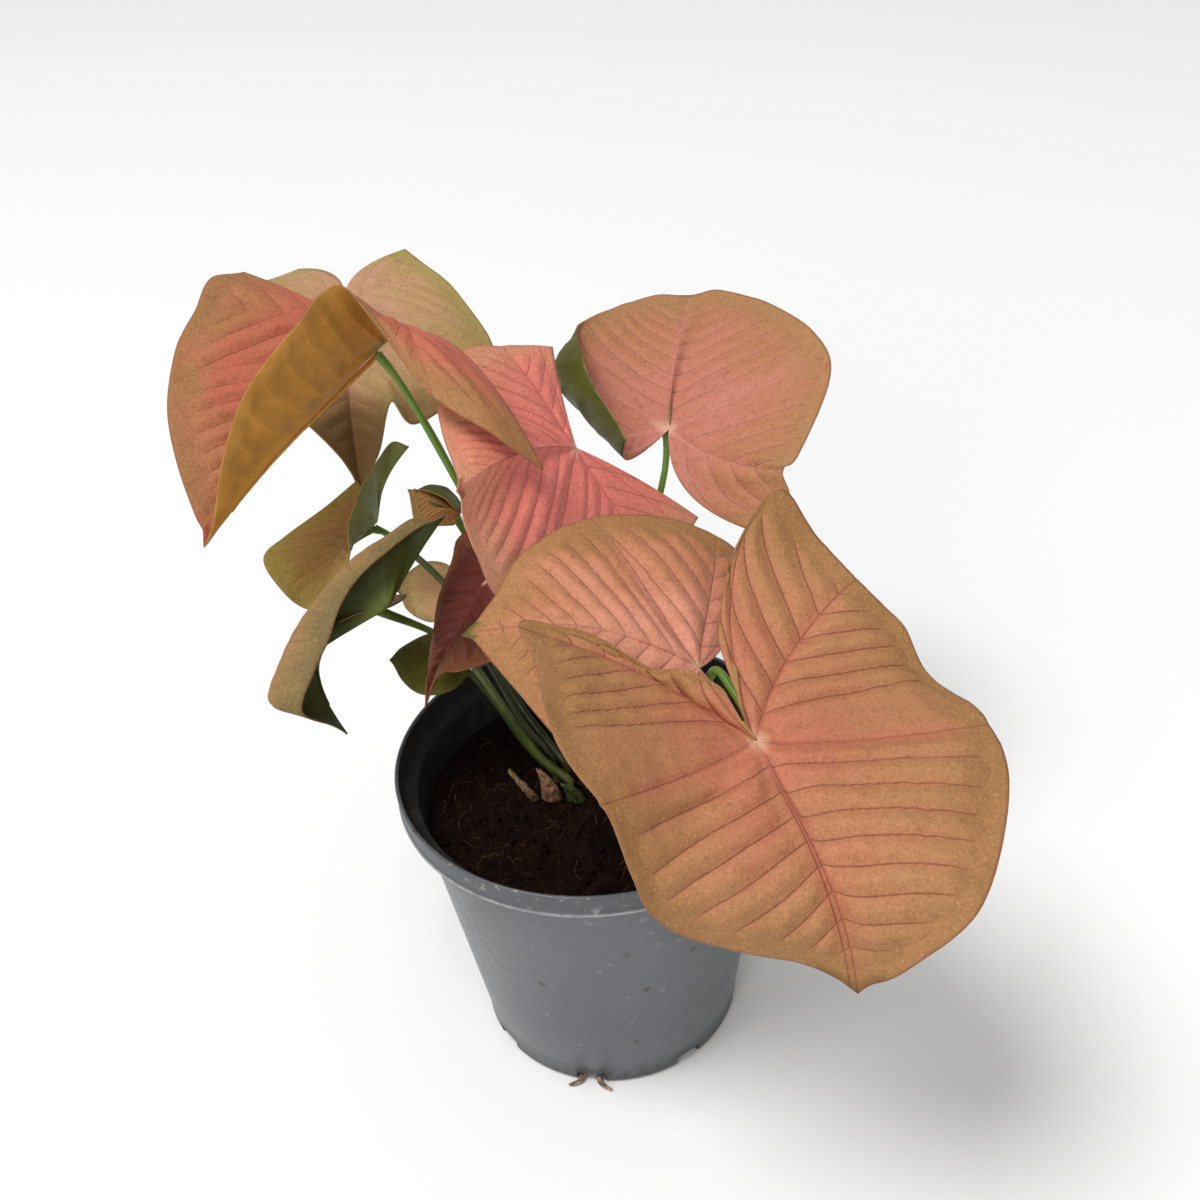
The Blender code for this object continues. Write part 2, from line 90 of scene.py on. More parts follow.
# Soil. Its lumps are layers of noise, each with the lumps' size, their share of the height and a shift.
SOIL_BOTTOM = 2
SOIL_EDGE_HEIGHT = 84
SOIL_CROWN_HEIGHT = 88
SOIL_WALL_GAP = 0.25
SOIL_FOOT_GAP = 0.3
SOIL_SURFACE_FROM = 70
SOIL_LUMPS = ((9, 1, (0, 0, 0)), (3.1, 0.7, (5, 0, 0)), (1.3, 0.5, (0, 9, 0)))
SOIL_CALM_FROM = 0.85
SOIL_CALM_SHARE = 0.6
SOIL_SEGMENTS = 150
SOIL_RINGS = 56
CRUMB_SIZES = (0.4, 1.5)
CRUMB_ROUGHNESS = 0.5
CRUMB_WIDTHS = (0.6, 1)
CRUMB_HEIGHTS = (0.5, 0.9)
CRUMB_LIFT = 0.2
FIBRE_EDGE_GAP = 5
FIBRE_LENGTHS = (2, 11)
FIBRE_BENDS = (-1.4, 1.4)
FIBRE_LIFTS = (0.1, 1.6)
FIBRE_REST = 0.1
FIBRE_RADII = (0.04, 0.11)
FIBRE_STEPS = 6

# Blades: the grid's steps.
STEPS_PER_VEIN = 11
RAY_STEPS = 144
FEWEST_OUT_STEPS = 24
MOST_OUT_STEPS = 64
OUT_STEPS_PER_MM = 0.9
NORMAL_STEP = 0.03

# Veins, once a blade is laid flat. Each half has a midrib, a first lateral, a lobe rib and an inner rib, at
# shares of the half's whole angle. A rib counts up to RIB_FAN radians past its angle. Spacings are shares of
# the blade's length.
FIRST_LATERAL_SHARE = 0.4
LOBE_RIB_SHARE = 0.76
INNER_RIB_SHARE = 0.93
RIB_FAN = 1.2
LATERAL_SPACING = 0.105
LATERAL_BEND = 0.9
LOBE_SPACING = 0.13
LOBE_BRANCH_ANGLE = 48
VEIN_WANDER = 0.6
VEIN_WANDER_SIZE = 17
VEIN_WANDER_FROM = 8

# Relief of a blade that is at least FULL_RELIEF_LENGTH long. A shorter one has less.
FULL_RELIEF_LENGTH = 60
RIB_DEPTHS = (1, 0.8, 0.8, 0.2)
RIB_WIDTH = 1.3
SWELL_HEIGHT = 2.1
SWELL_RISE = 0.65
SWELL_FALL = 0.9
QUILT_FROM_RIB = 6
QUILT_FADE = (0.8, 0.95)
NARROWEST_QUILT = 6
LOBE_EDGE_SHARE = 0.14
LUMP_SIZE = 6
LUMP_SHARE = 0.25
WAVE_SIZE = 20
WAVE_SHARE = 1.4
TIP_POINT = 0.032
TIP_POINT_WIDTH = 0.4

# Stalks, from a foot inside the soil. Their taper, flare and joint are shares of the radius.
STALK_FOOT = 79
STALK_STEPS_PER_POINT = 10
STALK_TAPER = 0.25
STALK_FLARE = 0.35
STALK_FLARE_FROM = 0.85
JOINT_PLACE = 0.04
JOINT_DROP = 1.15
JOINT_RADIUS = 0.7

# Midribs, which run on from the stalks under the blades: the cover is a share of the blade's thickness.
MIDRIB_COVER = 0.6
MIDRIB_STEPS = range(2, 24)
MIDRIB_ALL_STEPS = 26
MIDRIB_RADIUS = 0.55
MIDRIB_TAPER = 0.8
MIDRIB_DROP = 0.9
NARROWEST_MIDRIB = 0.1

# Every leaf: "base" is where the stalk joins the blade, and each vein is its middle and its end on the
# margin. "left" and "right" run from the tip to the lobe, as seen from the base, and the last vein is the
# lobe's inner edge.
LEAVES = {
    "front": {
        "base": (40, -67, 158),
        "tip": ((51, -96, 146), (58, -108, 117)),
        "left": [
            ((55, -96, 145), (68, -112, 126)), ((63, -91, 151), (84, -111, 144)),
            ((69, -76, 155), (97, -82, 153)), ((70, -65, 157), (96, -61, 156)),
            ((67, -53, 159), (87, -43, 157)), ((62, -47, 161), (83, -32, 163)),
            ((56, -41, 164), (75, -24, 170)), ((48, -35, 168), (65, -10, 177)),
            ((42, -30, 172), (55, -2, 189)), ((37, -37, 170), (42, -16, 181)),
            ((36, -49, 165), (35, -34, 170)), ((38, -58, 162), (38, -49, 165)),
        ],
        "right": [
            ((43, -96, 147), (46, -106, 123)), ((33, -95, 151), (22, -105, 132)),
            ((28, -92, 154), (12, -107, 143)), ((24, -88, 156), (8, -106, 155)),
            ((22, -84, 160), (4, -102, 168)), ((20, -79, 163), (0, -96, 174)),
            ((18, -74, 166), (-6, -86, 179)), ((16, -67, 166), (-9, -74, 179)),
            ((15, -58, 167), (-11, -59, 180)), ((17, -51, 168), (-14, -45, 183)),
            ((21, -53, 164), (2, -45, 177)), ((26, -56, 164), (15, -50, 170)),
            ((31, -60, 165), (25, -53, 170)), ((36, -62, 163), (33, -57, 167)),
            ((37, -64, 161), (35, -60, 163)),
        ],
    },
    "inner": {
        "base": (29, -43, 163),
        "tip": ((2, -37, 174), (-29, -29, 169)),
        "left": [
            ((3, -39, 172), (-25, -35, 167)), ((7, -46, 166), (-17, -47, 163)),
            ((13, -53, 162), (-7, -61, 158)), ((21, -57, 158), (6, -71, 151)),
            ((28, -55, 155), (26, -68, 145)), ((36, -49, 155), (44, -58, 145)),
        ],
        "right": [
            ((5, -33, 175), (-22, -24, 175)), ((9, -27, 176), (-14, -15, 183)),
            ((17, -23, 174), (2, -5, 186)), ((27, -20, 172), (23, 3, 181)), ((36, -20, 166), (43, 4, 170)),
            ((38, -28, 160), (48, 1, 157)),
        ],
    },
    "middle": {
        "base": (2, 32, 188),
        "tip": ((-12, 15, 197), (-28, -6, 199)),
        "left": [
            ((-15, 13, 191), (-28, -7, 189)), ((-12, 8, 184), (-26, -8, 178)),
            ((-8, 7, 178), (-21, -9, 165)), ((0, 10, 170), (-5, -2, 155)), ((11, 22, 168), (20, 13, 150)),
            ((20, 37, 173), (37, 40, 157)),
        ],
        "right": [
            ((-14, 19, 198), (-30, 1, 203)), ((-14, 26, 200), (-34, 18, 204)),
            ((-14, 32, 201), (-35, 32, 208)), ((-12, 38, 202), (-28, 46, 214)),
            ((-7, 44, 200), (-16, 56, 211)), ((-1, 48, 196), (-3, 65, 205)),
        ],
    },
    "right": {
        "base": (31, 70, 172),
        "tip": ((36, 96, 187), (44, 127, 192)),
        "left": [
            ((32, 98, 186), (32, 129, 192)), ((22, 95, 184), (17, 120, 193)),
            ((10, 94, 185), (5, 102, 195)), ((-1, 90, 186), (6, 76, 196)), ((-1, 82, 182), (8, 67, 192)),
            ((5, 71, 178), (12, 58, 188)), ((18, 58, 169), (17, 50, 180)),
        ],
        "right": [
            ((41, 98, 185), (55, 124, 194)), ((50, 88, 185), (72, 103, 195)),
            ((56, 71, 180), (82, 73, 190)), ((50, 58, 173), (68, 45, 174)), ((46, 54, 168), (63, 43, 169)),
            ((41, 53, 163), (64, 39, 161)), ((34, 53, 160), (51, 38, 153)),
        ],
    },
    "tall": {
        "base": (-51, 51, 216),
        "tip": ((-73, 24, 205), (-98, 0, 186)),
        "left": [
            ((-73, 21, 209), (-95, 1, 194)), ((-72, 20, 212), (-90, 4, 208)),
            ((-69, 23, 218), (-82, 10, 223)), ((-62, 31, 224), (-70, 22, 234)),
            ((-54, 45, 228), (-57, 39, 238)), ((-44, 40, 227), (-37, 20, 215)),
            ((-35, 36, 222), (-18, 8, 205)), ((-29, 38, 219), (-7, 8, 195)),
        ],
        "right": [
            ((-75, 28, 211), (-101, 3, 193)), ((-76, 33, 214), (-105, 12, 205)),
            ((-76, 38, 217), (-107, 23, 215)), ((-74, 46, 221), (-105, 37, 226)),
            ((-72, 53, 224), (-101, 48, 231)), ((-70, 58, 225), (-98, 60, 235)),
            ((-69, 62, 225), (-90, 68, 234)),
        ],
    },
    "back": {
        "base": (-70, 110, 205),
        "tip": ((-70, 91, 186), (-68, 69, 160)),
        "left": [
            ((-67, 90, 187), (-61, 73, 170)), ((-62, 96, 194), (-56, 82, 183)),
            ((-57, 98, 193), (-49, 79, 176)), ((-50, 103, 196), (-31, 91, 182)),
            ((-48, 111, 201), (-23, 106, 188)), ((-55, 120, 206), (-36, 126, 202)),
            ((-67, 125, 210), (-52, 142, 211)),
        ],
        "right": [
            ((-73, 88, 187), (-73, 70, 171)), ((-77, 88, 194), (-81, 71, 182)),
            ((-82, 91, 203), (-93, 74, 196)), ((-85, 97, 209), (-100, 87, 209)),
            ((-86, 108, 211), (-104, 106, 213)), ((-74, 124, 210), (-88, 136, 209)),
        ],
    },
    "curled": {
        "base": (-55, 7, 155),
        "tip": ((-75, -2, 150), (-71, -10, 126)),
        "left": [
            ((-86, -11, 144), (-78, -21, 141)), ((-83, -7, 151), (-74, -14, 150)),
            ((-79, 0, 156), (-70, -9, 156)), ((-72, 6, 162), (-66, -2, 163)),
            ((-64, 12, 167), (-61, 5, 167)), ((-54, 17, 171), (-53, 11, 171)),
            ((-47, 21, 172), (-44, 18, 174)), ((-48, 16, 162), (-37, 22, 175)),
        ],
        "right": [
            ((-76, 4, 144), (-76, -1, 124)), ((-72, 11, 146), (-79, 10, 134)),
            ((-67, 15, 148), (-73, 21, 140)), ((-61, 15, 150), (-64, 25, 145)),
            ((-57, 15, 152), (-57, 22, 149)), ((-52, 13, 153), (-51, 19, 151)),
        ],
    },
    "left": {
        "base": (-61, 47, 160),
        "tip": ((-71, 28, 161), (-75, 14, 152)),
        "left": [
            ((-68, 28, 163), (-69, 15, 159)), ((-65, 32, 163), (-66, 21, 164)),
            ((-63, 38, 165), (-67, 32, 168)), ((-61, 44, 168), (-63, 42, 175)),
            ((-60, 50, 170), (-58, 51, 179)), ((-58, 53, 171), (-54, 58, 181)),
            ((-58, 53, 169), (-49, 58, 179)),
        ],
        "right": [
            ((-75, 30, 159), (-81, 17, 150)), ((-76, 35, 160), (-87, 20, 155)),
            ((-77, 40, 160), (-93, 30, 160)), ((-74, 46, 160), (-88, 41, 161)),
            ((-69, 53, 161), (-77, 53, 163)), ((-64, 57, 162), (-68, 65, 165)),
        ],
    },
    "shaded": {
        "base": (-27, 17, 155),
        "tip": ((-39, 8, 141), (-48, 1, 124)),
        "left": [
            ((-35, 6, 146), (-42, -3, 137)), ((-31, 5, 148), (-35, -7, 141)),
            ((-26, 4, 152), (-23, -9, 147)), ((-22, 7, 155), (-17, -3, 153)),
            ((-21, 13, 159), (-15, 8, 160)), ((-23, 18, 160), (-18, 18, 164)),
        ],
        "right": [
            ((-39, 10, 143), (-46, 4, 133)), ((-39, 16, 146), (-45, 13, 138)),
            ((-36, 20, 149), (-43, 23, 146)), ((-32, 24, 153), (-38, 31, 154)),
            ((-29, 25, 157), (-36, 33, 159)), ((-26, 24, 159), (-32, 34, 163)),
        ],
    },
    "folded": {
        "base": (-34, 40, 165),
        "tip": ((-42, 38, 171), (-49, 42, 173)),
        "left": [
            ((-41, 38, 169), (-48, 36, 171)), ((-39, 37, 168), (-47, 33, 167)),
            ((-37, 37, 165), (-41, 32, 166)), ((-35, 39, 164), (-36, 35, 164)),
        ],
        "right": [
            ((-42, 45, 171), (-44, 40, 173)), ((-38, 46, 170), (-39, 39, 171)),
            ((-36, 46, 167), (-36, 38, 168)), ((-34, 43, 165), (-35, 39, 166)),
        ],
    },
    "low": {
        "base": (-40, 21, 128),
        "tip": ((-50, 20, 129), (-59, 19, 128)),
        "left": [
            ((-49, 15, 127), (-55, 11, 125)), ((-44, 14, 125), (-49, 7, 123)),
            ((-40, 15, 125), (-41, 9, 122)), ((-37, 18, 126), (-35, 15, 124)),
        ],
        "right": [
            ((-49, 24, 129), (-56, 23, 129)), ((-45, 26, 129), (-49, 29, 129)),
            ((-41, 27, 129), (-42, 32, 128)), ((-37, 25, 128), (-36, 29, 128)),
        ],
    },
    "small": {
        "base": (-42, 42, 135),
        "tip": ((-49, 42, 138), (-56, 37, 141)),
        "left": [
            ((-48, 37, 136), (-53, 30, 138)), ((-45, 36, 135), (-47, 30, 133)),
            ((-42, 37, 133), (-42, 34, 132)), ((-40, 41, 133), (-38, 39, 132)),
        ],
        "right": [
            ((-49, 46, 139), (-54, 44, 142)), ((-46, 49, 138), (-49, 52, 141)),
            ((-43, 50, 136), (-43, 55, 138)), ((-40, 47, 135), (-38, 51, 135)),
        ],
    },
}

# Stalks, from the soil's surface up to a little short of the blade's base.
STEMS = {
    "front": [(8, 1, 91), (19, -24, 124), (30, -34, 148), (33, -42, 161), (36, -49, 161), (39, -57, 158)],
    "inner": [(3, -2, 91), (13, -24, 123), (25, -37, 151)],
    "middle": [(3, 12, 91), (2, 25, 131), (3, 34, 163)],
    "right": [(8, 11, 91), (11, 33, 118), (23, 56, 144), (29, 66, 160)],
    "tall": [(-3, 10, 91), (-12, 25, 117), (-21, 35, 136), (-27, 39, 155), (-33, 37, 175), (-46, 46, 203)],
    "back": [(-3, 16, 91), (-18, 34, 113), (-33, 68, 145), (-49, 94, 172)],
    "curled": [(-8, 0, 91), (-17, 5, 98), (-26, 8, 115), (-34, 12, 129), (-41, 16, 134), (-46, 17, 139)],
    "left": [(-9, 8, 91), (-23, 23, 106), (-34, 31, 132), (-44, 35, 147), (-57, 44, 156)],
    "shaded": [(-4, 4, 91), (-17, 10, 116), (-23, 19, 140)],
    "folded": [(-8, 13, 91), (-24, 36, 112), (-32, 46, 144)],
    "low": [(-12, 4, 91), (-21, 13, 96), (-32, 20, 113)],
    "small": [(-13, 12, 91), (-23, 30, 92), (-36, 47, 113)],
}

# Colours of each leaf, linear: "field" between the veins, "blush" near the junction and the veins, "edge"
# towards the margin, "under" for the underside, and the "midrib" and "tip". "reach" is how far the blush
# goes out, "veins" how strongly the veins show, and "pleats" how strongly the blade swells between them.
# "shade" is the height under which a leaf's hanging part turns darker with painted shade, and its colour
# there.
LEAF_LOOKS = {
    "front": {
        "field": (0.43, 0.203, 0.085), "blush": (0.51, 0.16, 0.098), "edge": (0.32, 0.16, 0.055),
        "under": (0.36, 0.18, 0.06), "midrib": (0.36, 0.09, 0.065), "tip": (0.22, 0.11, 0.03),
        "reach": 0.38, "veins": 0.75, "pleats": 1.15,
    },
    "inner": {
        "field": (0.45, 0.18, 0.075), "blush": (0.66, 0.27, 0.19), "edge": (0.34, 0.17, 0.06),
        "under": (0.12, 0.12, 0.02), "midrib": (0.4, 0.12, 0.09), "tip": (0.07, 0.1, 0.012),
        "reach": 0.6, "veins": 0.6, "pleats": 0.85,
    },
    "middle": {
        "field": (0.72, 0.25, 0.155), "blush": (0.72, 0.19, 0.16), "edge": (0.6, 0.27, 0.16),
        "under": (0.2, 0.12, 0.03), "midrib": (0.5, 0.08, 0.07), "tip": (0.3, 0.1, 0.04),
        "reach": 0.75, "veins": 0.5, "pleats": 0.8,
    },
    "right": {
        "field": (0.42, 0.17, 0.078), "blush": (0.52, 0.18, 0.125), "edge": (0.38, 0.2, 0.08),
        "under": (0.075, 0.075, 0.005), "midrib": (0.66, 0.28, 0.25), "tip": (0.3, 0.16, 0.06),
        "reach": 0.55, "veins": 0.55, "pleats": 0.7,
    },
    "tall": {
        "field": (0.42, 0.155, 0.07), "blush": (0.52, 0.125, 0.08), "edge": (0.34, 0.17, 0.06),
        "under": (0.5, 0.23, 0.038), "midrib": (0.45, 0.13, 0.08), "tip": (0.3, 0.06, 0.03),
        "reach": 0.8, "veins": 0.35, "pleats": 0.75,
    },
    "back": {
        "field": (0.45, 0.28, 0.11), "blush": (0.56, 0.29, 0.2), "edge": (0.36, 0.28, 0.08),
        "under": (0.22, 0.13, 0.06), "midrib": (0.4, 0.2, 0.12), "tip": (0.3, 0.2, 0.07),
        "reach": 0.45, "veins": 0.25, "pleats": 0.5, "shade": (188, (0.17, 0.085, 0.03)),
    },
    "curled": {
        "field": (0.31, 0.175, 0.07), "blush": (0.29, 0.14, 0.065), "edge": (0.15, 0.12, 0.04),
        "under": (0.05, 0.055, 0.006), "midrib": (0.3, 0.2, 0.1), "tip": (0.1, 0.1, 0.02),
        "reach": 0.4, "veins": 0.3, "pleats": 0.25,
    },
    "left": {
        "field": (0.36, 0.2, 0.05), "blush": (0.34, 0.17, 0.06), "edge": (0.3, 0.23, 0.045),
        "under": (0.2, 0.22, 0.06), "midrib": (0.2, 0.14, 0.04), "tip": (0.2, 0.15, 0.04),
        "reach": 0.4, "veins": 0.2, "pleats": 0.5,
    },
    # The shaded leaf's dark maroon colours are painted shade, cast on it by the leaves above.
    "shaded": {
        "field": (0.06, 0.012, 0.005), "blush": (0.1, 0.014, 0.009), "edge": (0.16, 0.05, 0.015),
        "under": (0.1, 0.05, 0.02), "midrib": (0.25, 0.05, 0.04), "tip": (0.2, 0.05, 0.02),
        "reach": 0.6, "veins": 0.5, "pleats": 1,
    },
    "folded": {
        "field": (0.42, 0.2, 0.07), "blush": (0.4, 0.17, 0.06), "edge": (0.3, 0.19, 0.055),
        "under": (0.07, 0.085, 0.007), "midrib": (0.25, 0.14, 0.05), "tip": (0.15, 0.1, 0.03),
        "reach": 0.4, "veins": 0.2, "pleats": 0.5,
    },
    "low": {
        "field": (0.08, 0.07, 0.004), "blush": (0.1, 0.08, 0.006), "edge": (0.1, 0.1, 0.012),
        "under": (0.05, 0.06, 0.006), "midrib": (0.1, 0.1, 0.02), "tip": (0.1, 0.1, 0.02),
        "reach": 0.5, "veins": 0.2, "pleats": 0.6,
    },
    "small": {
        "field": (0.95, 0.62, 0.27), "blush": (0.8, 0.4, 0.22), "edge": (0.55, 0.37, 0.15),
        "under": (0.08, 0.1, 0.02), "midrib": (0.4, 0.2, 0.1), "tip": (0.3, 0.2, 0.08),
        "reach": 0.4, "veins": 0.08, "pleats": 0.25,
    },
}
# Stalks not named in LIT_STALKS get painted shade low down, SHADE_ON_STALKS of the way to a dark green.
LIT_STALKS = ("curled", "front")
SHADE_ON_STALKS = 0.75

# Short sheaths at the crown: "faces" is the compass angle that each one's outer side faces, from +X.
SHEATHS = {
    "sheath_withered": {
        "spine": [(-19.5, -4, 87.2), (-20.5, -6, 91.5), (-23, -5.5, 95.5), (-26, -3, 99)],
        "half_width": 1.9,
        "cup": 1.4,
        "faces": -110,
        "colour": (0.26, 0.17, 0.07),
        "streaks": (0.09, 0.045, 0.015),
    },
    "sheath_pink": {
        "spine": [(-14, -6, 88), (-14, -7, 93), (-15, -7, 97), (-17, -6, 101)],
        "half_width": 3.1,
        "cup": 1.2,
        "faces": -100,
        "colour": (0.33, 0.14, 0.09),
        "streaks": (0.13, 0.08, 0.03),
    },
    "sheath_green": {
        "spine": [(-6, -7, 87.8), (-7, -8, 92), (-8, -9, 95), (-10, -10, 98)],
        "half_width": 2.6,
        "cup": 1.3,
        "faces": -90,
        "colour": (0.08, 0.1, 0.018),
        "streaks": (0.04, 0.055, 0.01),
    },
}
SHEATH_STEPS = (16, 36)
SHEATH_POINT = 0.8
SHEATH_CREASE = 0.7
SHEATH_THICKNESS = 0.4

# Root tips: they leave by the front drain slots and lie on the ground.
ROOT_RADIUS = 0.9
ROOT_TAPER = 0.6
ROOT_STEPS = 20
ROOTS = {
    "root_front": [(-6.5, -40.0, 1.6), (-6, -41.8, 1.2), (-4.5, -43.6, 1.0), (-2.5, -45, 0.95)],
    "root_left": [(-11, -38.8, 2.0), (-12, -40.6, 1.3), (-14, -41.6, 1.0), (-16, -41.8, 0.95)],
}


class PotSettings(bpy.types.PropertyGroup):
    colour: bpy.props.FloatVectorProperty(
        name="Plastic colour",
        description="Colour of the pot's plastic",
        default=(0.092, 0.098, 0.108),
        size=3,
        subtype="COLOR",
    )
    roughness: bpy.props.FloatProperty(
        name="Roughness",
        description="How dull the plastic is, 0 for polished",
        default=0.36,
        min=0,
        max=1,
    )
    lip_radius: bpy.props.FloatProperty(
        name="Lip radius",
        description="How round the rim's edges are",
        default=0.5 * MM,
        min=0.1 * MM,
        unit="LENGTH",
    )


class SoilSettings(bpy.types.PropertyGroup):
    colour: bpy.props.FloatVectorProperty(
        name="Soil colour",
        description="Colour of the potting mix",
        default=(0.009, 0.0034, 0.0022),
        size=3,
        subtype="COLOR",
    )
    crumbs: bpy.props.IntProperty(
        name="Crumbs",
        description="How many loose crumbs lie on the soil",
        default=420,
        min=0,
    )
    fibres: bpy.props.IntProperty(
        name="Fibres",
        description="How many coir fibres lie on the soil",
        default=190,
        min=0,
    )
    lump_height: bpy.props.FloatProperty(
        name="Lump height",
        description="Height of the soil's lumps",
        default=2.4 * MM,
        unit="LENGTH",
    )


class LeafSettings(bpy.types.PropertyGroup):
    thickness: bpy.props.FloatProperty(
        name="Blade thickness",
        description="Thickness of every blade",
        default=0.5 * MM,
        min=0.2 * MM,
        unit="LENGTH",
    )
    groove: bpy.props.FloatProperty(
        name="Vein depth",
        description="How deep the midrib and the lobe ribs lie in the upper face",
        default=0.9 * MM,
        unit="LENGTH",
    )
    quilting: bpy.props.FloatProperty(
        name="Quilting",
        description="How high the blade swells between its lateral veins",
        default=1.5 * MM,
        unit="LENGTH",
    )
    vein_strength: bpy.props.FloatProperty(
        name="Vein strength",
        description="How strongly the veins show on the upper face, 0 for none",
        default=1,
        min=0,
        max=1.3,
    )
    junction_colour: bpy.props.FloatVectorProperty(
        name="Junction colour",
        description="Colour of the pale spot where the stalk joins the blade",
        default=(0.72, 0.42, 0.28),
        size=3,
        subtype="COLOR",
    )
    margin_colour: bpy.props.FloatVectorProperty(
        name="Margin colour",
        description="Colour of the blade's thin edge",
        default=(0.26, 0.09, 0.05),
        size=3,
        subtype="COLOR",
    )


class StalkSettings(bpy.types.PropertyGroup):
    radius: bpy.props.FloatProperty(
        name="Stalk radius",
        description="Radius of a stalk near the soil",
        default=1.3 * MM,
        min=0.4 * MM,
        unit="LENGTH",
    )
    colour: bpy.props.FloatVectorProperty(
        name="Stalk colour",
        description="Colour of the stalks",
        default=(0.075, 0.1, 0.012),
        size=3,
        subtype="COLOR",
    )


class StageSettings(bpy.types.PropertyGroup):
    floor_colour: bpy.props.FloatVectorProperty(
        name="Floor colour",
        description="Colour of the floor",
        default=(0.9, 0.9, 0.9),
        size=3,
        subtype="COLOR",
    )
    light: bpy.props.FloatProperty(
        name="Light",
        description="Strength of the studio lights",
        default=1,
        min=0,
    )


SETTINGS = {
    "arrowhead_pot": PotSettings,
    "arrowhead_soil": SoilSettings,
    "arrowhead_leaves": LeafSettings,
    "arrowhead_stalks": StalkSettings,
    "arrowhead_stage": StageSettings,
}


class Finish:
    """A material that is being made: its nodes are added and linked by short calls."""

    def __init__(self, name):
        self.material = bpy.data.materials.new(name)
        self.material.use_nodes = True
        self.nodes = self.material.node_tree.nodes
        self.links = self.material.node_tree.links
        self.shader = self.nodes["Principled BSDF"]
        self.place = self.nodes.new("ShaderNodeTexCoord").outputs["Object"]

    def put(self, socket, value):
        """Links a socket to another, or gives it a constant."""
        if isinstance(value, bpy.types.NodeSocket):
            self.links.new(value, socket)
        elif socket.type == "RGBA" and len(value) == 3:
            socket.default_value = (*value, 1)
        else:
            socket.default_value = value

    def maths(self, operation, first, second=0.0):
        node = self.nodes.new("ShaderNodeMath")
        node.operation = operation
        for socket, value in zip(node.inputs, (first, second)):
            self.put(socket, value)
        return node.outputs[0]

    def times(self, first, second):
        return self.maths("MULTIPLY", first, second)

    def plus(self, first, second):
        return self.maths("ADD", first, second)

    def fade(self, value, start, end, first=0.0, last=1.0):
        """Goes smoothly from first, where the value is at start, to last, where it is at end."""
        node = self.nodes.new("ShaderNodeMapRange")
        node.interpolation_type = "SMOOTHSTEP"
        for socket, given in zip(node.inputs, (value, start, end, first, last)):
            self.put(socket, given)
        return node.outputs[0]

    def mix(self, share, first, second):
        """The first colour, with the given share of the second."""
        node = self.nodes.new("ShaderNodeMix")
        node.data_type = "RGBA"
        self.put(node.inputs[0], share)
        self.put(node.inputs[6], first)
        self.put(node.inputs[7], second)
        return node.outputs[2]

    def noise(self, size, detail=3.0, stretch=(1, 1, 1), rough=0.55):
        """Noise about 0.5, with lumps of the given size in metres."""
        mapping = self.nodes.new("ShaderNodeMapping")
        self.put(mapping.inputs["Vector"], self.place)
        mapping.inputs["Scale"].default_value = stretch
        node = self.nodes.new("ShaderNodeTexNoise")
        self.put(node.inputs["Vector"], mapping.outputs[0])
        node.inputs["Scale"].default_value = 1 / size
        node.inputs["Detail"].default_value = detail
        node.inputs["Roughness"].default_value = rough
        return node.outputs["Fac"]

    def cells(self, size, feature="F1"):
        """Distance to the nearest of scattered points, or to the edge between two of their cells."""
        node = self.nodes.new("ShaderNodeTexVoronoi")
        node.feature = feature
        self.put(node.inputs["Vector"], self.place)
        node.inputs["Scale"].default_value = 1 / size
        return node.outputs["Distance"]

    def uv(self, name):
        """The two values of one of the piece's own maps."""
        node = self.nodes.new("ShaderNodeUVMap")
        node.uv_map = name
        parts = self.nodes.new("ShaderNodeSeparateXYZ")
        self.links.new(node.outputs[0], parts.inputs[0])
        return parts.outputs[0], parts.outputs[1]

    def axes(self):
        """The place as x, y and z, in metres."""
        parts = self.nodes.new("ShaderNodeSeparateXYZ")
        self.links.new(self.place, parts.inputs[0])
        return parts.outputs

    def bump(self, height, distance, strength=1.0):
        node = self.nodes.new("ShaderNodeBump")
        node.inputs["Strength"].default_value = strength
        node.inputs["Distance"].default_value = distance
        self.put(node.inputs["Height"], height)
        self.links.new(node.outputs[0], self.shader.inputs["Normal"])

    def finish(self, colour, roughness, **constants):
        """Sets the shader and gives the finished material."""
        self.put(self.shader.inputs["Base Color"], colour)
        self.put(self.shader.inputs["Roughness"], roughness)
        for name, value in constants.items():
            self.shader.inputs[name.replace("_", " ")].default_value = value
        return self.material


def toned(colour, share, lift=0.0):
    """A colour made darker or lighter by a share, and lifted."""
    return tuple(min(channel * share + lift, 1) for channel in colour)


def add_piece(name, data, materials, node):
    """Adds a mesh to the plant, in place of a CAD node where one is named."""
    for material in materials:
        data.materials.append(material)
    made = bpy.data.objects.new(name, data)
    bpy.context.scene.collection.objects.link(made)
    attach(made, "root")
    if node:
        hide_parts(node)
    return made


def mesh_data(name, mesh):
    """A smooth-shaded mesh from a bmesh, which is freed."""
    data = bpy.data.meshes.new(name)
    mesh.to_mesh(data)
    mesh.free()
    data.shade_smooth()
    return data


def along(points, t):
    """The point at t, from 0 to 1, on the smooth curve through evenly timed points."""
    points = [Vector(point) for point in points]
    points = [2 * points[0] - points[1], *points, 2 * points[-1] - points[-2]]
    spans = len(points) - 3
    x = min(max(t, 0), 1) * spans
    i = min(int(x), spans - 1)
    u = x - i
    a, b, c, d = points[i : i + 4]
    return 0.5 * (2 * b + (c - a) * u + (2 * a - 5 * b + 4 * c - d) * u**2 + (3 * b - a - 3 * c + d) * u**3)


def smooth(value, start, end):
    """Goes smoothly from 0 at start to 1 at end."""
    share = min(max((value - start) / (end - start), 0), 1)
    return share * share * (3 - 2 * share)


def ray(leaf, side, s):
    """The middle and the end of the ray at s, 0 on the midrib to 1 on the lobe's inner edge."""
    veins = [leaf["tip"], *leaf[side]]
    return along([vein[0] for vein in veins], s), along([vein[1] for vein in veins], s)


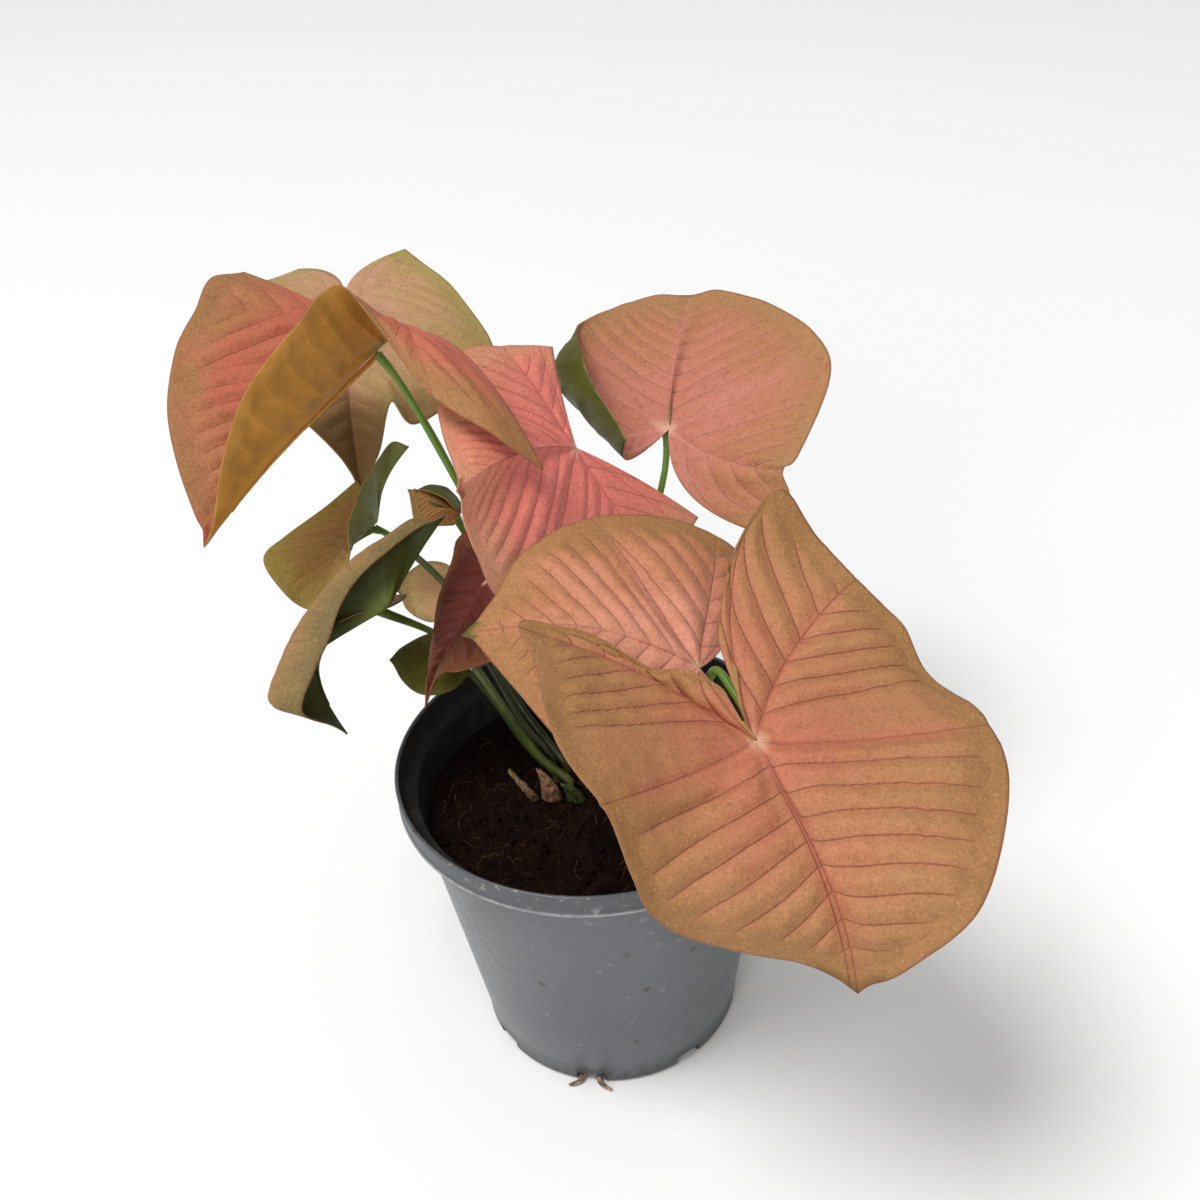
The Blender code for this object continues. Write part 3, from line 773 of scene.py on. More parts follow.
def on_ray(leaf, ends, r):
    """The upper face at r on a ray, 0 at the base to 1 on the margin, in millimetres."""
    near = Vector(leaf["base"]) * (1 - r) * (1 - 2 * r)
    return near + ends[0] * 4 * r * (1 - r) + ends[1] * r * (2 * r - 1)


def upward(behind, ahead, left, right):
    """The upper face's normal among four of its points."""
    return (ahead - behind).cross(left - right).normalized()


class Half:
    """One half of a blade, from the midrib to the lobe's inner edge, and the same half laid flat."""

    def __init__(self, leaf, side):
        self.steps = STEPS_PER_VEIN * len(leaf[side])
        self.ends = [ray(leaf, side, step / self.steps) for step in range(self.steps + 1)]
        self.rays = flattened(leaf, side)
        self.length = sum(self.rays[0][1:])
        whole = self.rays[-1][0]
        self.ribs = [0, whole * FIRST_LATERAL_SHARE, whole * LOBE_RIB_SHARE, whole * INNER_RIB_SHARE]

    def rib_distances(self, angle, place):
        """How far a flat place lies from each rib, which is endless past the rib's fan."""
        return [abs(rib_offset(rib, place)) if angle < rib + RIB_FAN else math.inf for rib in self.ribs]


def flattened(leaf, side):
    """One side's rays laid flat: each one's angle from the midrib, and the lengths of its two halves."""
    base = Vector(leaf["base"])
    angle = 0
    before = None
    rays = []
    for step in range(RAY_STEPS + 1):
        middle, end = ray(leaf, side, step / RAY_STEPS)
        if before:
            angle += (middle - base).angle(before)
        before = middle - base
        rays.append((angle, (middle - base).length, (end - middle).length))
    return rays


def flat_place(rays, s, r):
    """A point's angle, and its place once flattened: x away from the midrib and y towards the tip."""
    x = s * RAY_STEPS
    i = min(int(x), RAY_STEPS - 1)
    angle, near, far = Vector(rays[i]).lerp(Vector(rays[i + 1]), x - i)
    distance = near * min(r, 0.5) * 2 + far * max(r - 0.5, 0) * 2
    return angle, Vector((math.sin(angle), math.cos(angle))) * distance


def wandered(place):
    """The flat place, moved a little so that the veins aren't ruled lines."""
    shift = noise.noise_vector(Vector((place.x, place.y, 0)) / VEIN_WANDER_SIZE)
    return place + Vector((shift.x, shift.y)) * VEIN_WANDER * min(place.x / VEIN_WANDER_FROM, 1)


def rib_offset(angle, place):
    """The signed distance from the rib that leaves the base at that angle."""
    return place.x * math.cos(angle) - place.y * math.sin(angle)


def rung_of(half, angle, place):
    """Counts the lateral veins: whole numbers lie on one."""
    first, lobe = half.ribs[1:3]
    if angle <= first:
        slope = math.cos(first) / math.sin(first)
        start = (place.y - place.x * slope) / (1 + LATERAL_BEND * (place.x / half.length) ** 2)
        return start / (LATERAL_SPACING * half.length)
    out = place.x * math.sin(lobe) + place.y * math.cos(lobe)
    start = out - abs(rib_offset(lobe, place)) / math.tan(math.radians(LOBE_BRANCH_ANGLE))
    return start / (LOBE_SPACING * half.length)


def relief(half, angle, place, r, settings):
    """Height of the upper face over the smooth blade, in metres."""
    size = min(half.length / FULL_RELIEF_LENGTH, 1)
    away = half.rib_distances(angle, place)
    groove = max(depth * math.exp(-((each / RIB_WIDTH) ** 2)) for depth, each in zip(RIB_DEPTHS, away))
    groove *= smooth(r, 0, 0.1) * (1 - 0.5 * r)
    rung = rung_of(half, angle, place)
    share = rung % 1
    swell = SWELL_HEIGHT * share**SWELL_RISE * (1 - share) ** SWELL_FALL if rung > 0 else 0
    quilt = swell * smooth(min(away), 0, QUILT_FROM_RIB) * (1 - smooth(r, *QUILT_FADE))
    lumps = noise.noise(Vector((place.x, place.y, half.length)) / LUMP_SIZE) * LUMP_SHARE * smooth(r, 0, 0.4)
    waves = noise.noise(Vector((place.x, place.y, 3 * half.length)) / WAVE_SIZE) * WAVE_SHARE * r
    return settings.groove * -groove * size + settings.quilting * size * (quilt + lumps + waves)


def blade_mesh(name, leaf, pleats, settings):
    """The upper face of a blade, with its swellings, and maps that hold its veins."""
    left = Half(leaf, "left")
    right = Half(leaf, "right")
    out_steps = max(FEWEST_OUT_STEPS, min(MOST_OUT_STEPS, int(left.length * OUT_STEPS_PER_MM)))
    across = left.steps + right.steps
    mesh = bmesh.new()
    maps = [mesh.loops.layers.uv.new(each) for each in ("blade", "veins")]
    bmesh.ops.create_grid(mesh, x_segments=across, y_segments=out_steps, size=1)
    places = {}
    lifts = {}
    for vertex in mesh.verts:
        step = round((vertex.co.x + 1) / 2 * across) - left.steps
        half = left if step < 0 else right
        s = abs(step) / half.steps
        r = (vertex.co.y + 1) / 2
        angle, place = flat_place(half.rays, s, r)
        place = wandered(place)
        places[vertex] = (step, s, r, place)
        here = half.ends[abs(step)]
        point = TIP_POINT * max(0, 1 - abs(step) / STEPS_PER_VEIN / TIP_POINT_WIDTH) ** 1.5
        vertex.co = on_ray(leaf, here, r + point * r**6) * MM
        beside = []
        for near in (step - STEPS_PER_VEIN, step + STEPS_PER_VEIN):
            near = min(max(near, -left.steps), right.steps)
            beside.append(on_ray(leaf, (left if near < 0 else right).ends[abs(near)], r))
        height = relief(half, angle, place, r, settings) * pleats
        narrowest = NARROWEST_QUILT * min(left.length / FULL_RELIEF_LENGTH, 1)
        height *= smooth((beside[0] - beside[1]).length, 1, narrowest)
        height *= smooth(1 - s, 0, LOBE_EDGE_SHARE)
        normal = upward(on_ray(leaf, here, r - NORMAL_STEP), on_ray(leaf, here, r + NORMAL_STEP), *beside)
        lifts[vertex] = normal * height
    for face in mesh.faces:
        map_veins(face, places, left, right, maps)
    at_base = [vertex for vertex in mesh.verts if places[vertex][2] < 0.5 / out_steps]
    for vertex in mesh.verts:
        vertex.co += lifts[vertex]
    bmesh.ops.pointmerge(mesh, verts=at_base, merge_co=Vector(leaf["base"]) * MM)
    return mesh_data(name, mesh)


def map_veins(face, places, left, right, maps):
    """Writes a face's two maps: its place on the blade, and its place among the ribs and the laterals."""
    corners = [places[vertex] for vertex in face.verts]
    turn = sum(corner[0] for corner in corners)
    half = left if turn < 0 else right
    angle = flat_place(half.rays, sum(corner[1] for corner in corners) / 4, 0.5)[0]
    centre = sum((corner[3] for corner in corners), Vector((0, 0))) / 4
    away = half.rib_distances(angle, centre)
    rib = half.ribs[away.index(min(away))]
    for loop in face.loops:
        step, s, r, place = places[loop.vert]
        loop[maps[0]].uv = (math.copysign(s, turn), r)
        loop[maps[1]].uv = (rib_offset(rib, place) / CENTIMETRE, rung_of(half, angle, place))


class VeinLines:
    """Where a point lies among a blade's veins, read from the blade's maps by a material's nodes."""

    def __init__(self, finish, width):
        self.finish = finish
        self.width = width
        self.across, self.out = finish.uv("blade")
        offset, self.rung = finish.uv("veins")
        self.offset = finish.maths("ABSOLUTE", offset)
        self.nearest = finish.maths("PINGPONG", self.rung, 0.5)
        self.inside = finish.fade(self.out, 0.86, 0.93, 1, 0)

    def ribs(self):
        """1 on the midrib and the lobes' ribs, which grow thin towards the margin."""
        width = self.finish.fade(self.out, 0, 1, self.width * 1.6, self.width * 0.8)
        return self.finish.fade(self.offset, 0, width, 1, 0)

    def laterals(self):
        """1 on a lateral vein, and less on the arched line inside the margin."""
        finish = self.finish
        lateral = finish.fade(self.nearest, 0, self.width * 0.9, 1, 0)
        lateral = finish.times(finish.times(lateral, finish.fade(self.rung, 0.4, 0.6)), self.inside)
        arch = finish.maths("POWER", finish.maths("SUBTRACT", 0.5, self.nearest), 2)
        arch = finish.plus(self.out, finish.times(arch, 0.22))
        away = finish.maths("ABSOLUTE", finish.maths("SUBTRACT", arch, 0.925))
        return finish.maths("MAXIMUM", lateral, finish.fade(away, 0, 0.008, 0.28, 0))

    def halo(self):
        """1 beside a rib and less beside a lateral vein, fading out."""
        finish = self.finish
        beside = finish.times(finish.fade(self.nearest, 0, 0.3, 1, 0), finish.fade(self.rung, 0.3, 0.7))
        return finish.maths("MAXIMUM", finish.fade(self.offset, 0, 0.55, 1, 0), finish.times(beside, 0.45))

    def tip(self):
        """1 on the blade's last point."""
        finish = self.finish
        middle = finish.fade(finish.maths("ABSOLUTE", self.across), 0.05, 0.12, 1, 0)
        return finish.fade(finish.times(middle, self.out), 0.95, 0.99)

    def folds(self):
        """0 on a lateral vein, and 1 half way to the next."""
        finish = self.finish
        fold = finish.maths("POWER", finish.times(self.nearest, 2), 0.7)
        return finish.times(finish.times(fold, self.inside), finish.fade(self.rung, 0.3, 0.8))


def hanging(finish, look):
    """How far a point lies below the height where a leaf's hanging part turns darker with painted shade."""
    top = look["shade"][0]
    return finish.fade(finish.axes()[2], top * MM, (top - CENTIMETRE) * MM, 0, 0.85)


def upper_face(name, look, settings):
    """A blade's upper face: blush, margin, mottling, veins and a fine leathery grain."""
    finish = Finish("blade_" + name)
    lines = VeinLines(finish, 0.042)
    out = lines.out
    ribs = lines.ribs()
    laterals = lines.laterals()
    folds = lines.folds()
    drift = finish.noise(15 * MM, 2)
    mottle = finish.noise(2.6 * MM, 5, rough=0.7)
    grain = finish.noise(0.7 * MM, 4, rough=0.75)
    net = finish.fade(finish.cells(1.7 * MM, "DISTANCE_TO_EDGE"), 0, 0.12)
    blush = finish.fade(finish.plus(out, finish.times(drift, 0.9)), look["reach"] + 0.8, look["reach"] + 0.1)
    halo = finish.times(lines.halo(), finish.fade(out, 0.5, 1, 0.8, 0.25))
    colour = finish.mix(finish.maths("MAXIMUM", blush, halo), look["field"], look["blush"])
    margin = finish.fade(finish.plus(out, finish.times(drift, 0.5)), 0.95, 1.25, 0, 0.9)
    colour = finish.mix(margin, colour, look["edge"])
    darker = toned(look["field"], 0.5)
    colour = finish.mix(finish.fade(mottle, 0.5, 0.74, 0, 0.5), colour, darker)
    colour = finish.mix(finish.fade(grain, 0.48, 0.3, 0, 0.6), colour, darker)
    colour = finish.mix(finish.fade(grain, 0.52, 0.68, 0, 0.7), colour, toned(look["field"], 1.35))
    strength = look["veins"] * settings.vein_strength
    # Painted shade in the creases beside each lateral vein, in the midrib's colour.
    crease = finish.times(finish.maths("SUBTRACT", 1, folds), finish.fade(out, 0.1, 0.3))
    crease = finish.times(crease, finish.fade(out, 0.8, 0.9, 0.2 * strength, 0))
    colour = finish.mix(crease, colour, look["midrib"])
    colour = finish.mix(finish.times(laterals, 0.42 * strength), colour, toned(look["midrib"], 0.8))
    colour = finish.mix(finish.times(ribs, 0.75 * strength), colour, look["midrib"])
    colour = finish.mix(finish.fade(out, 0.015, 0.07, 0.7, 0), colour, tuple(settings.junction_colour))
    colour = finish.mix(lines.tip(), colour, look["tip"])
    # Painted shade on the hanging part, below the given height.
    if "shade" in look:
        colour = finish.mix(hanging(finish, look), colour, look["shade"][1])
    colour = finish.mix(finish.fade(out, 0.985, 0.997, 0, 0.4), colour, tuple(settings.margin_colour))
    colour = finish.mix(finish.times(finish.maths("SUBTRACT", 1, net), 0.16), colour, darker)
    height = finish.plus(finish.times(net, 0.1), finish.times(mottle, 0.9))
    height = finish.plus(height, finish.times(folds, 1.3 * look["pleats"]))
    veins = finish.times(finish.maths("MAXIMUM", ribs, laterals), strength)
    height = finish.plus(finish.maths("SUBTRACT", height, veins), finish.times(grain, 0.35))
    finish.bump(height, 0.35 * MM, 0.9)
    return finish.finish(colour, finish.fade(mottle, 0.3, 0.7, 0.5, 0.66), Specular_IOR_Level=0.22)


def under_face(name, look):
    """A blade's underside: cloudy, with raised, paler veins, and green where the stalk joins."""
    finish = Finish("underside_" + name)
    lines = VeinLines(finish, 0.06)
    drift = finish.noise(12 * MM, 3)
    mottle = finish.noise(3 * MM, 4, rough=0.65)
    veins = finish.maths("MAXIMUM", lines.ribs(), lines.laterals())
    deeper = toned(look["under"], 0.62)
    paler = toned(look["under"], 1.5, 0.01)
    colour = finish.mix(finish.fade(drift, 0.4, 0.65, 0, 0.5), look["under"], deeper)
    # Painted shade on the hanging part, below the given height.
    if "shade" in look:
        colour = finish.mix(hanging(finish, look), colour, look["shade"][1])
    colour = finish.mix(finish.fade(mottle, 0.45, 0.7, 0, 0.3), colour, deeper)
    colour = finish.mix(finish.times(lines.halo(), 0.2), colour, paler)
    colour = finish.mix(finish.times(veins, 0.45 * look["veins"]), colour, paler)
    colour = finish.mix(finish.fade(lines.out, 0.03, 0.14, 0.7, 0), colour, (0.13, 0.16, 0.025))
    finish.bump(finish.plus(finish.times(veins, look["veins"]), finish.times(mottle, 0.6)), 0.3 * MM, 0.8)
    return finish.finish(colour, finish.fade(mottle, 0.3, 0.7, 0.45, 0.58), Specular_IOR_Level=0.25)


def edge_face(name, look, settings):
    """The thin edge of a blade."""
    finish = Finish("margin_" + name)
    mottle = finish.noise(3 * MM, 3)
    colour = finish.mix(finish.fade(mottle, 0.4, 0.7, 0, 0.7), look["edge"], tuple(settings.margin_colour))
    finish.bump(mottle, 0.1 * MM)
    return finish.finish(colour, 0.55, Specular_IOR_Level=0.25)


def rib_finish(name, look):
    """The midrib on the underside, a little paler than the blade beside it."""
    finish = Finish("rib_" + name)
    streaks = finish.noise(1.5 * MM, 3)
    colour = finish.mix(finish.fade(streaks, 0.35, 0.65), toned(look["under"], 1.25, 0.01), look["under"])
    finish.bump(streaks, 0.12 * MM)
    return finish.finish(colour, 0.55, Specular_IOR_Level=0.3)


def midrib_frame(leaf, r):
    """A point on the midrib and the upper face's normal there, in millimetres."""
    tip = ray(leaf, "left", 0)
    beside = [on_ray(leaf, ray(leaf, side, 1 / len(leaf[side])), r) for side in ("left", "right")]
    normal = upward(on_ray(leaf, tip, r - NORMAL_STEP), on_ray(leaf, tip, r + NORMAL_STEP), *beside)
    return on_ray(leaf, tip, r), normal


def tube_mesh(name, points, radii, round_steps=6):
    """A tube along points, with a radius at each, as a mesh with closed ends."""
    curve = bpy.data.curves.new(name, "CURVE")
    curve.dimensions = "3D"
    curve.bevel_depth = 1
    curve.bevel_resolution = round_steps
    curve.use_fill_caps = True
    spline = curve.splines.new("POLY")
    spline.points.add(len(points) - 1)
    for place, point, radius in zip(spline.points, points, radii):
        place.co = (*point, 1)
        place.radius = radius
    holder = bpy.data.objects.new(name, curve)
    bpy.context.scene.collection.objects.link(holder)
    data = bpy.data.meshes.new_from_object(holder.evaluated_get(bpy.context.evaluated_depsgraph_get()))
    bpy.data.objects.remove(holder)
    bpy.data.curves.remove(curve)
    data.name = name
    data.shade_smooth()
    return data


def stalk_finish(name, shade, settings):
    """A stalk's green, with painted shade below by the given share where the other stalks stand round it."""
    finish = Finish("stalk_" + name)
    streaks = finish.noise(1.6 * MM, 3, stretch=(1, 1, 0.12))
    patches = finish.noise(14 * MM, 2)
    height = finish.axes()[2]
    colour = tuple(settings.colour)
    colour = finish.mix(finish.fade(streaks, 0.35, 0.65, 0, 0.6), colour, toned(settings.colour, 0.55))
    colour = finish.mix(finish.fade(patches, 0.45, 0.7, 0, 0.6), colour, (0.15, 0.17, 0.025))
    colour = finish.mix(finish.fade(height, 150 * MM, 158 * MM, 0, 0.7), colour, (0.13, 0.26, 0.02))
    # Painted shade: darker low down, where the other stalks stand round it.
    colour = finish.mix(finish.fade(height, 135 * MM, 112 * MM, 0, shade), colour, (0.02, 0.026, 0.005))
    colour = finish.mix(finish.fade(height, 98 * MM, 88 * MM, 0, 0.5), colour, (0.12, 0.09, 0.035))
    finish.bump(streaks, 0.15 * MM, 0.7)
    return finish.finish(colour, finish.fade(streaks, 0.3, 0.7, 0.35, 0.5), Specular_IOR_Level=0.5)


def stalk_lines(route, leaf, pleats, settings, leaf_settings):
    """Centre lines and radii, in metres, of the stalk and of the midrib along the underside."""
    radius = settings.radius / MM
    cover = leaf_settings.thickness / MM * MIDRIB_COVER
    base, normal = midrib_frame(leaf, JOINT_PLACE)
    joint = base - normal * (cover + radius * JOINT_DROP)
    route = [Vector(point) for point in route] + [joint]
    steps = STALK_STEPS_PER_POINT * (len(route) - 1)
    points = [Vector((route[0].x, route[0].y, STALK_FOOT))]
    points += [along(route, step / steps) for step in range(steps + 1)]
    radii = [radius]
    for step in range(steps + 1):
        share = step / steps
        radii.append(radius * (1 - STALK_TAPER * share + STALK_FLARE * smooth(share, STALK_FLARE_FROM, 1)))
    half = Half(leaf, "left")
    midrib = [points[-2], joint]
    midrib_radii = [radius * JOINT_RADIUS] * 2
    for step in MIDRIB_STEPS:
        r = step / MIDRIB_ALL_STEPS
        here, normal = midrib_frame(leaf, r)
        rib = radius * MIDRIB_RADIUS * (1 - r) ** MIDRIB_TAPER + NARROWEST_MIDRIB
        rise = relief(half, 0, flat_place(half.rays, 0, r)[1], r, leaf_settings) / MM * pleats
        midrib.append(here + normal * (min(rise, 0) - cover - rib - MIDRIB_DROP * (1 - r) ** 2))
        midrib_radii.append(rib)
    both = ((points, radii), (midrib, midrib_radii))
    return [([point * MM for point in line], [each * MM for each in sizes]) for line, sizes in both]


def pot_profile(lip):
    """The pot's section as (radius, height), from the rim's inner edge down the outer side and back."""
    ledge = POT_HEIGHT - POT_BAND_HEIGHT
    foot_slope = (POT_SHOULDER_RADIUS - POT_BASE_RADIUS) / ledge
    heights = (POT_FLOOR, 50, ledge)
    inside = [(POT_BASE_RADIUS - POT_WALL + foot_slope * height, height) for height in heights]
    rounding = 0.3 * lip
    return [
        # Rim.
        (POT_RIM_RADIUS - POT_WALL, POT_HEIGHT - lip),
        (POT_RIM_RADIUS - POT_WALL + rounding, POT_HEIGHT - rounding),
        (POT_RIM_RADIUS - POT_WALL / 2, POT_HEIGHT),
        (POT_RIM_RADIUS - rounding, POT_HEIGHT - rounding),
        (POT_RIM_RADIUS, POT_HEIGHT - lip),
        # Bead round the band's foot.
        (POT_BAND_FOOT_RADIUS + 0.05, ledge + 2.2),
        (POT_BAND_FOOT_RADIUS + POT_BEAD / 2, ledge + 1.6),
        (POT_BAND_FOOT_RADIUS + POT_BEAD, ledge + 1.2),
        (POT_BAND_FOOT_RADIUS + POT_BEAD, ledge + 0.5),
        (POT_BAND_FOOT_RADIUS + 0.3, ledge + 0.1),
        (POT_BAND_FOOT_RADIUS - 0.3, ledge),
        # Side, from the shoulder down to the foot's step.
        (POT_SHOULDER_RADIUS + 0.5, ledge),
        (POT_SHOULDER_RADIUS, ledge - 0.6),
        (POT_BASE_RADIUS + foot_slope * 30, 30),
        (POT_BASE_RADIUS + foot_slope * 9, 9),
        (POT_BASE_RADIUS + foot_slope * 7.4 - 0.35, 7.4),
        # Foot, with a base that stands a little off the ground.
        (POT_BASE_RADIUS + 0.75, 2),
        (POT_BASE_RADIUS + 0.3, 0.7),
        (POT_BASE_RADIUS - 0.4, 0),
        (POT_BASE_RADIUS - 5, 0),
        (POT_BASE_RADIUS - 6, 0.6),
        (0, 0.6),
        # Inside, up to the ledge behind the band.
        (0, POT_FLOOR),
        *inside,
        (POT_SHOULDER_RADIUS - POT_WALL + 0.4, ledge + POT_WALL),
        (POT_BAND_FOOT_RADIUS - POT_WALL - 0.4, ledge + POT_WALL),
        (POT_BAND_FOOT_RADIUS - POT_WALL, ledge + POT_WALL + 0.5),
    ]


def spun_mesh(profile, segments):
    """A closed shape turned about the upright axis from a closed section in millimetres."""
    mesh = bmesh.new()
    points = [mesh.verts.new((radius * MM, 0, height * MM)) for radius, height in profile]
    edges = [mesh.edges.new(pair) for pair in zip(points, points[1:] + points[:1])]
    bmesh.ops.spin(
        mesh,
        geom=points + edges,
        cent=(0, 0, 0),
        axis=(0, 0, 1),
        angle=math.tau,
        steps=segments,
        use_merge=True,
    )
    bmesh.ops.remove_doubles(mesh, verts=mesh.verts, dist=0.00001)
    collapsed = [face for face in mesh.faces if face.calc_area() < 1e-12]
    bmesh.ops.delete(mesh, geom=collapsed, context="FACES")
    bmesh.ops.recalc_face_normals(mesh, faces=mesh.faces)
    return mesh


def pot_finish(settings):
    """Grey plastic: a painted highlight line and dust on the band, dirt at the foot, and a few specks."""
    finish = Finish("grey_plastic")
    height = finish.axes()[2]
    cloud = finish.noise(30 * MM, 2, stretch=(1, 1, 0.4))
    haze = finish.noise(3 * MM, 5, rough=0.7)
    grain = finish.noise(0.5 * MM, 2)
    colour = tuple(settings.colour)
    colour = finish.mix(finish.fade(cloud, 0.4, 0.7, 0, 0.2), colour, toned(settings.colour, 1.15))
    colour = finish.mix(finish.fade(haze, 0.55, 0.8, 0, 0.2), colour, toned(settings.colour, 0.75))
    band = finish.fade(height, 93.6 * MM, 94.4 * MM, 0, 0.35)
    colour = finish.mix(band, colour, toned(settings.colour, 0.7))
    # Painted highlight: a pale line along the bead at the band's foot.
    from_bead = finish.maths("ABSOLUTE", finish.maths("SUBTRACT", height, 94.9 * MM))
    painted_highlight = finish.fade(from_bead, 0.2 * MM, 0.7 * MM, 0.7, 0)
    painted_highlight = finish.times(painted_highlight, finish.fade(haze, 0.4, 0.6, 0.5, 1))
    colour = finish.mix(painted_highlight, colour, (0.42, 0.43, 0.44))
    dust = finish.times(finish.fade(haze, 0.57, 0.66), finish.fade(height, 93 * MM, 99 * MM, 0, 0.6))
    colour = finish.mix(dust, colour, (0.36, 0.3, 0.22))
    dirt = finish.fade(finish.plus(finish.times(haze, 17 * MM), height), 15.5 * MM, 9 * MM, 0, 0.85)
    colour = finish.mix(dirt, colour, (0.03, 0.022, 0.016))
    specks = finish.fade(finish.cells(13 * MM), 0.06, 0.13, 0.8, 0)
    specks = finish.times(specks, finish.fade(cloud, 0.42, 0.5))
    colour = finish.mix(specks, colour, (0.05, 0.022, 0.014))
    smudges = finish.fade(finish.times(haze, finish.noise(9 * MM, 3)), 0.335, 0.43, 0, 0.45)
    colour = finish.mix(smudges, colour, (0.3, 0.31, 0.32))
    finish.bump(finish.plus(finish.times(haze, 0.15), grain), 0.03 * MM, 0.4)
    roughness = finish.fade(haze, 0.35, 0.75, settings.roughness - 0.04, settings.roughness + 0.06)
    return finish.finish(colour, roughness, Specular_IOR_Level=0.4)


def pot_inside_shade_finish():
    """The pot's inner face, painted near-black as shade, with dust from the soil."""
    finish = Finish("dusty_plastic")
    dust = finish.noise(4 * MM, 5, rough=0.7)
    # Painted shade: the inner wall is far darker than the plastic outside, with paler dust on it.
    colour = finish.mix(finish.fade(dust, 0.45, 0.7), (0.018, 0.017, 0.016), (0.04, 0.034, 0.028))
    finish.bump(dust, 0.3 * MM)
    return finish.finish(colour, 0.8, Specular_IOR_Level=0.2)


def soil_finish(settings):
    """Dark potting mix with brown grit."""
    finish = Finish("potting_mix")
    clods = finish.noise(5 * MM, 5, rough=0.7)
    grit = finish.noise(0.9 * MM, 4, rough=0.7)
    colour = tuple(settings.colour)
    colour = finish.mix(finish.fade(clods, 0.45, 0.7, 0, 0.8), colour, (0.02, 0.008, 0.005))
    colour = finish.mix(finish.fade(grit, 0.56, 0.7, 0, 0.8), colour, (0.075, 0.027, 0.011))
    colour = finish.mix(finish.fade(grit, 0.45, 0.3, 0, 0.8), colour, (0.003, 0.0015, 0.001))
    finish.bump(finish.plus(clods, grit), 1.2 * MM, 1)
    return finish.finish(colour, 0.95, Specular_IOR_Level=0.08)


def soil_edge_radius():
    """How far out the soil reaches at its surface, a little short of the pot's wall."""
    taper = (POT_SHOULDER_RADIUS - POT_BASE_RADIUS) / (POT_HEIGHT - POT_BAND_HEIGHT)
    return POT_BASE_RADIUS - POT_WALL + taper * SOIL_EDGE_HEIGHT - SOIL_WALL_GAP


def soil_height(x, y, settings):
    """Height of the soil's surface at a place, in millimetres."""
    share = min(math.hypot(x, y) / soil_edge_radius(), 1)
    rise = (SOIL_CROWN_HEIGHT - SOIL_EDGE_HEIGHT) * (0.5 + 0.5 * math.cos(math.pi * share))
    place = Vector((x, y, 0))
    tall = settings.lump_height / MM
    lumps = sum(tall * part * noise.noise(place / size + Vector(shift)) for size, part, shift in SOIL_LUMPS)
    return SOIL_EDGE_HEIGHT + rise + lumps * (1 - SOIL_CALM_SHARE * smooth(share, SOIL_CALM_FROM, 1))


def fibre_finish():
    """Brown coir, from fibre to fibre paler and darker."""
    finish = Finish("coir")
    shade = finish.noise(6 * MM, 2)
    grain = finish.noise(0.5 * MM, 2)
    colour = finish.mix(finish.fade(shade, 0.4, 0.6), (0.03, 0.012, 0.006), (0.13, 0.052, 0.018))
    finish.bump(grain, 0.05 * MM)
    return finish.finish(colour, 0.8)


def sheath_mesh(name, sheath):
    """A cupped, creased strip along a sheath's spine, narrow at the top."""
    heading = math.radians(sheath["faces"])
    outward = Vector((math.cos(heading), math.sin(heading), 0))
    sideways = Vector((-math.sin(heading), math.cos(heading), 0))
    mesh = bmesh.new()
    bmesh.ops.create_grid(mesh, x_segments=SHEATH_STEPS[0], y_segments=SHEATH_STEPS[1], size=1)
    for vertex in mesh.verts:
        across = vertex.co.x
        share = (vertex.co.y + 1) / 2
        centre = along(sheath["spine"], share)
        half = sheath["half_width"] * (1 - SHEATH_POINT * share**2)
        crease = SHEATH_CREASE * noise.noise(Vector((across * 3, share * 7, sheath["half_width"])))
        cup = sheath["cup"] * across**2 - crease
        vertex.co = (centre + sideways * across * half - outward * cup) * MM
    return mesh_data(name, mesh)


def sheath_finish(name, sheath):
    """A dry, fibrous skin with dark blots."""
    finish = Finish(name)
    fibres = finish.noise(0.9 * MM, 4, stretch=(1, 1, 0.15))
    blots = finish.noise(3 * MM, 3)
    colour = finish.mix(finish.fade(fibres, 0.35, 0.65), sheath["colour"], sheath["streaks"])
    colour = finish.mix(finish.fade(blots, 0.6, 0.7, 0, 0.6), colour, toned(sheath["streaks"], 0.4))
    finish.bump(fibres, 0.2 * MM)
    return finish.finish(colour, 0.7)


def root_finish():
    """A root tip's pale and brown skin."""
    finish = Finish("root_pale")
    blots = finish.noise(2 * MM, 4)
    hairs = finish.noise(0.4 * MM, 3)
    colour = finish.mix(finish.fade(blots, 0.4, 0.65), (0.34, 0.25, 0.18), (0.07, 0.04, 0.025))
    finish.bump(hairs, 0.15 * MM)
    return finish.finish(colour, 0.8)


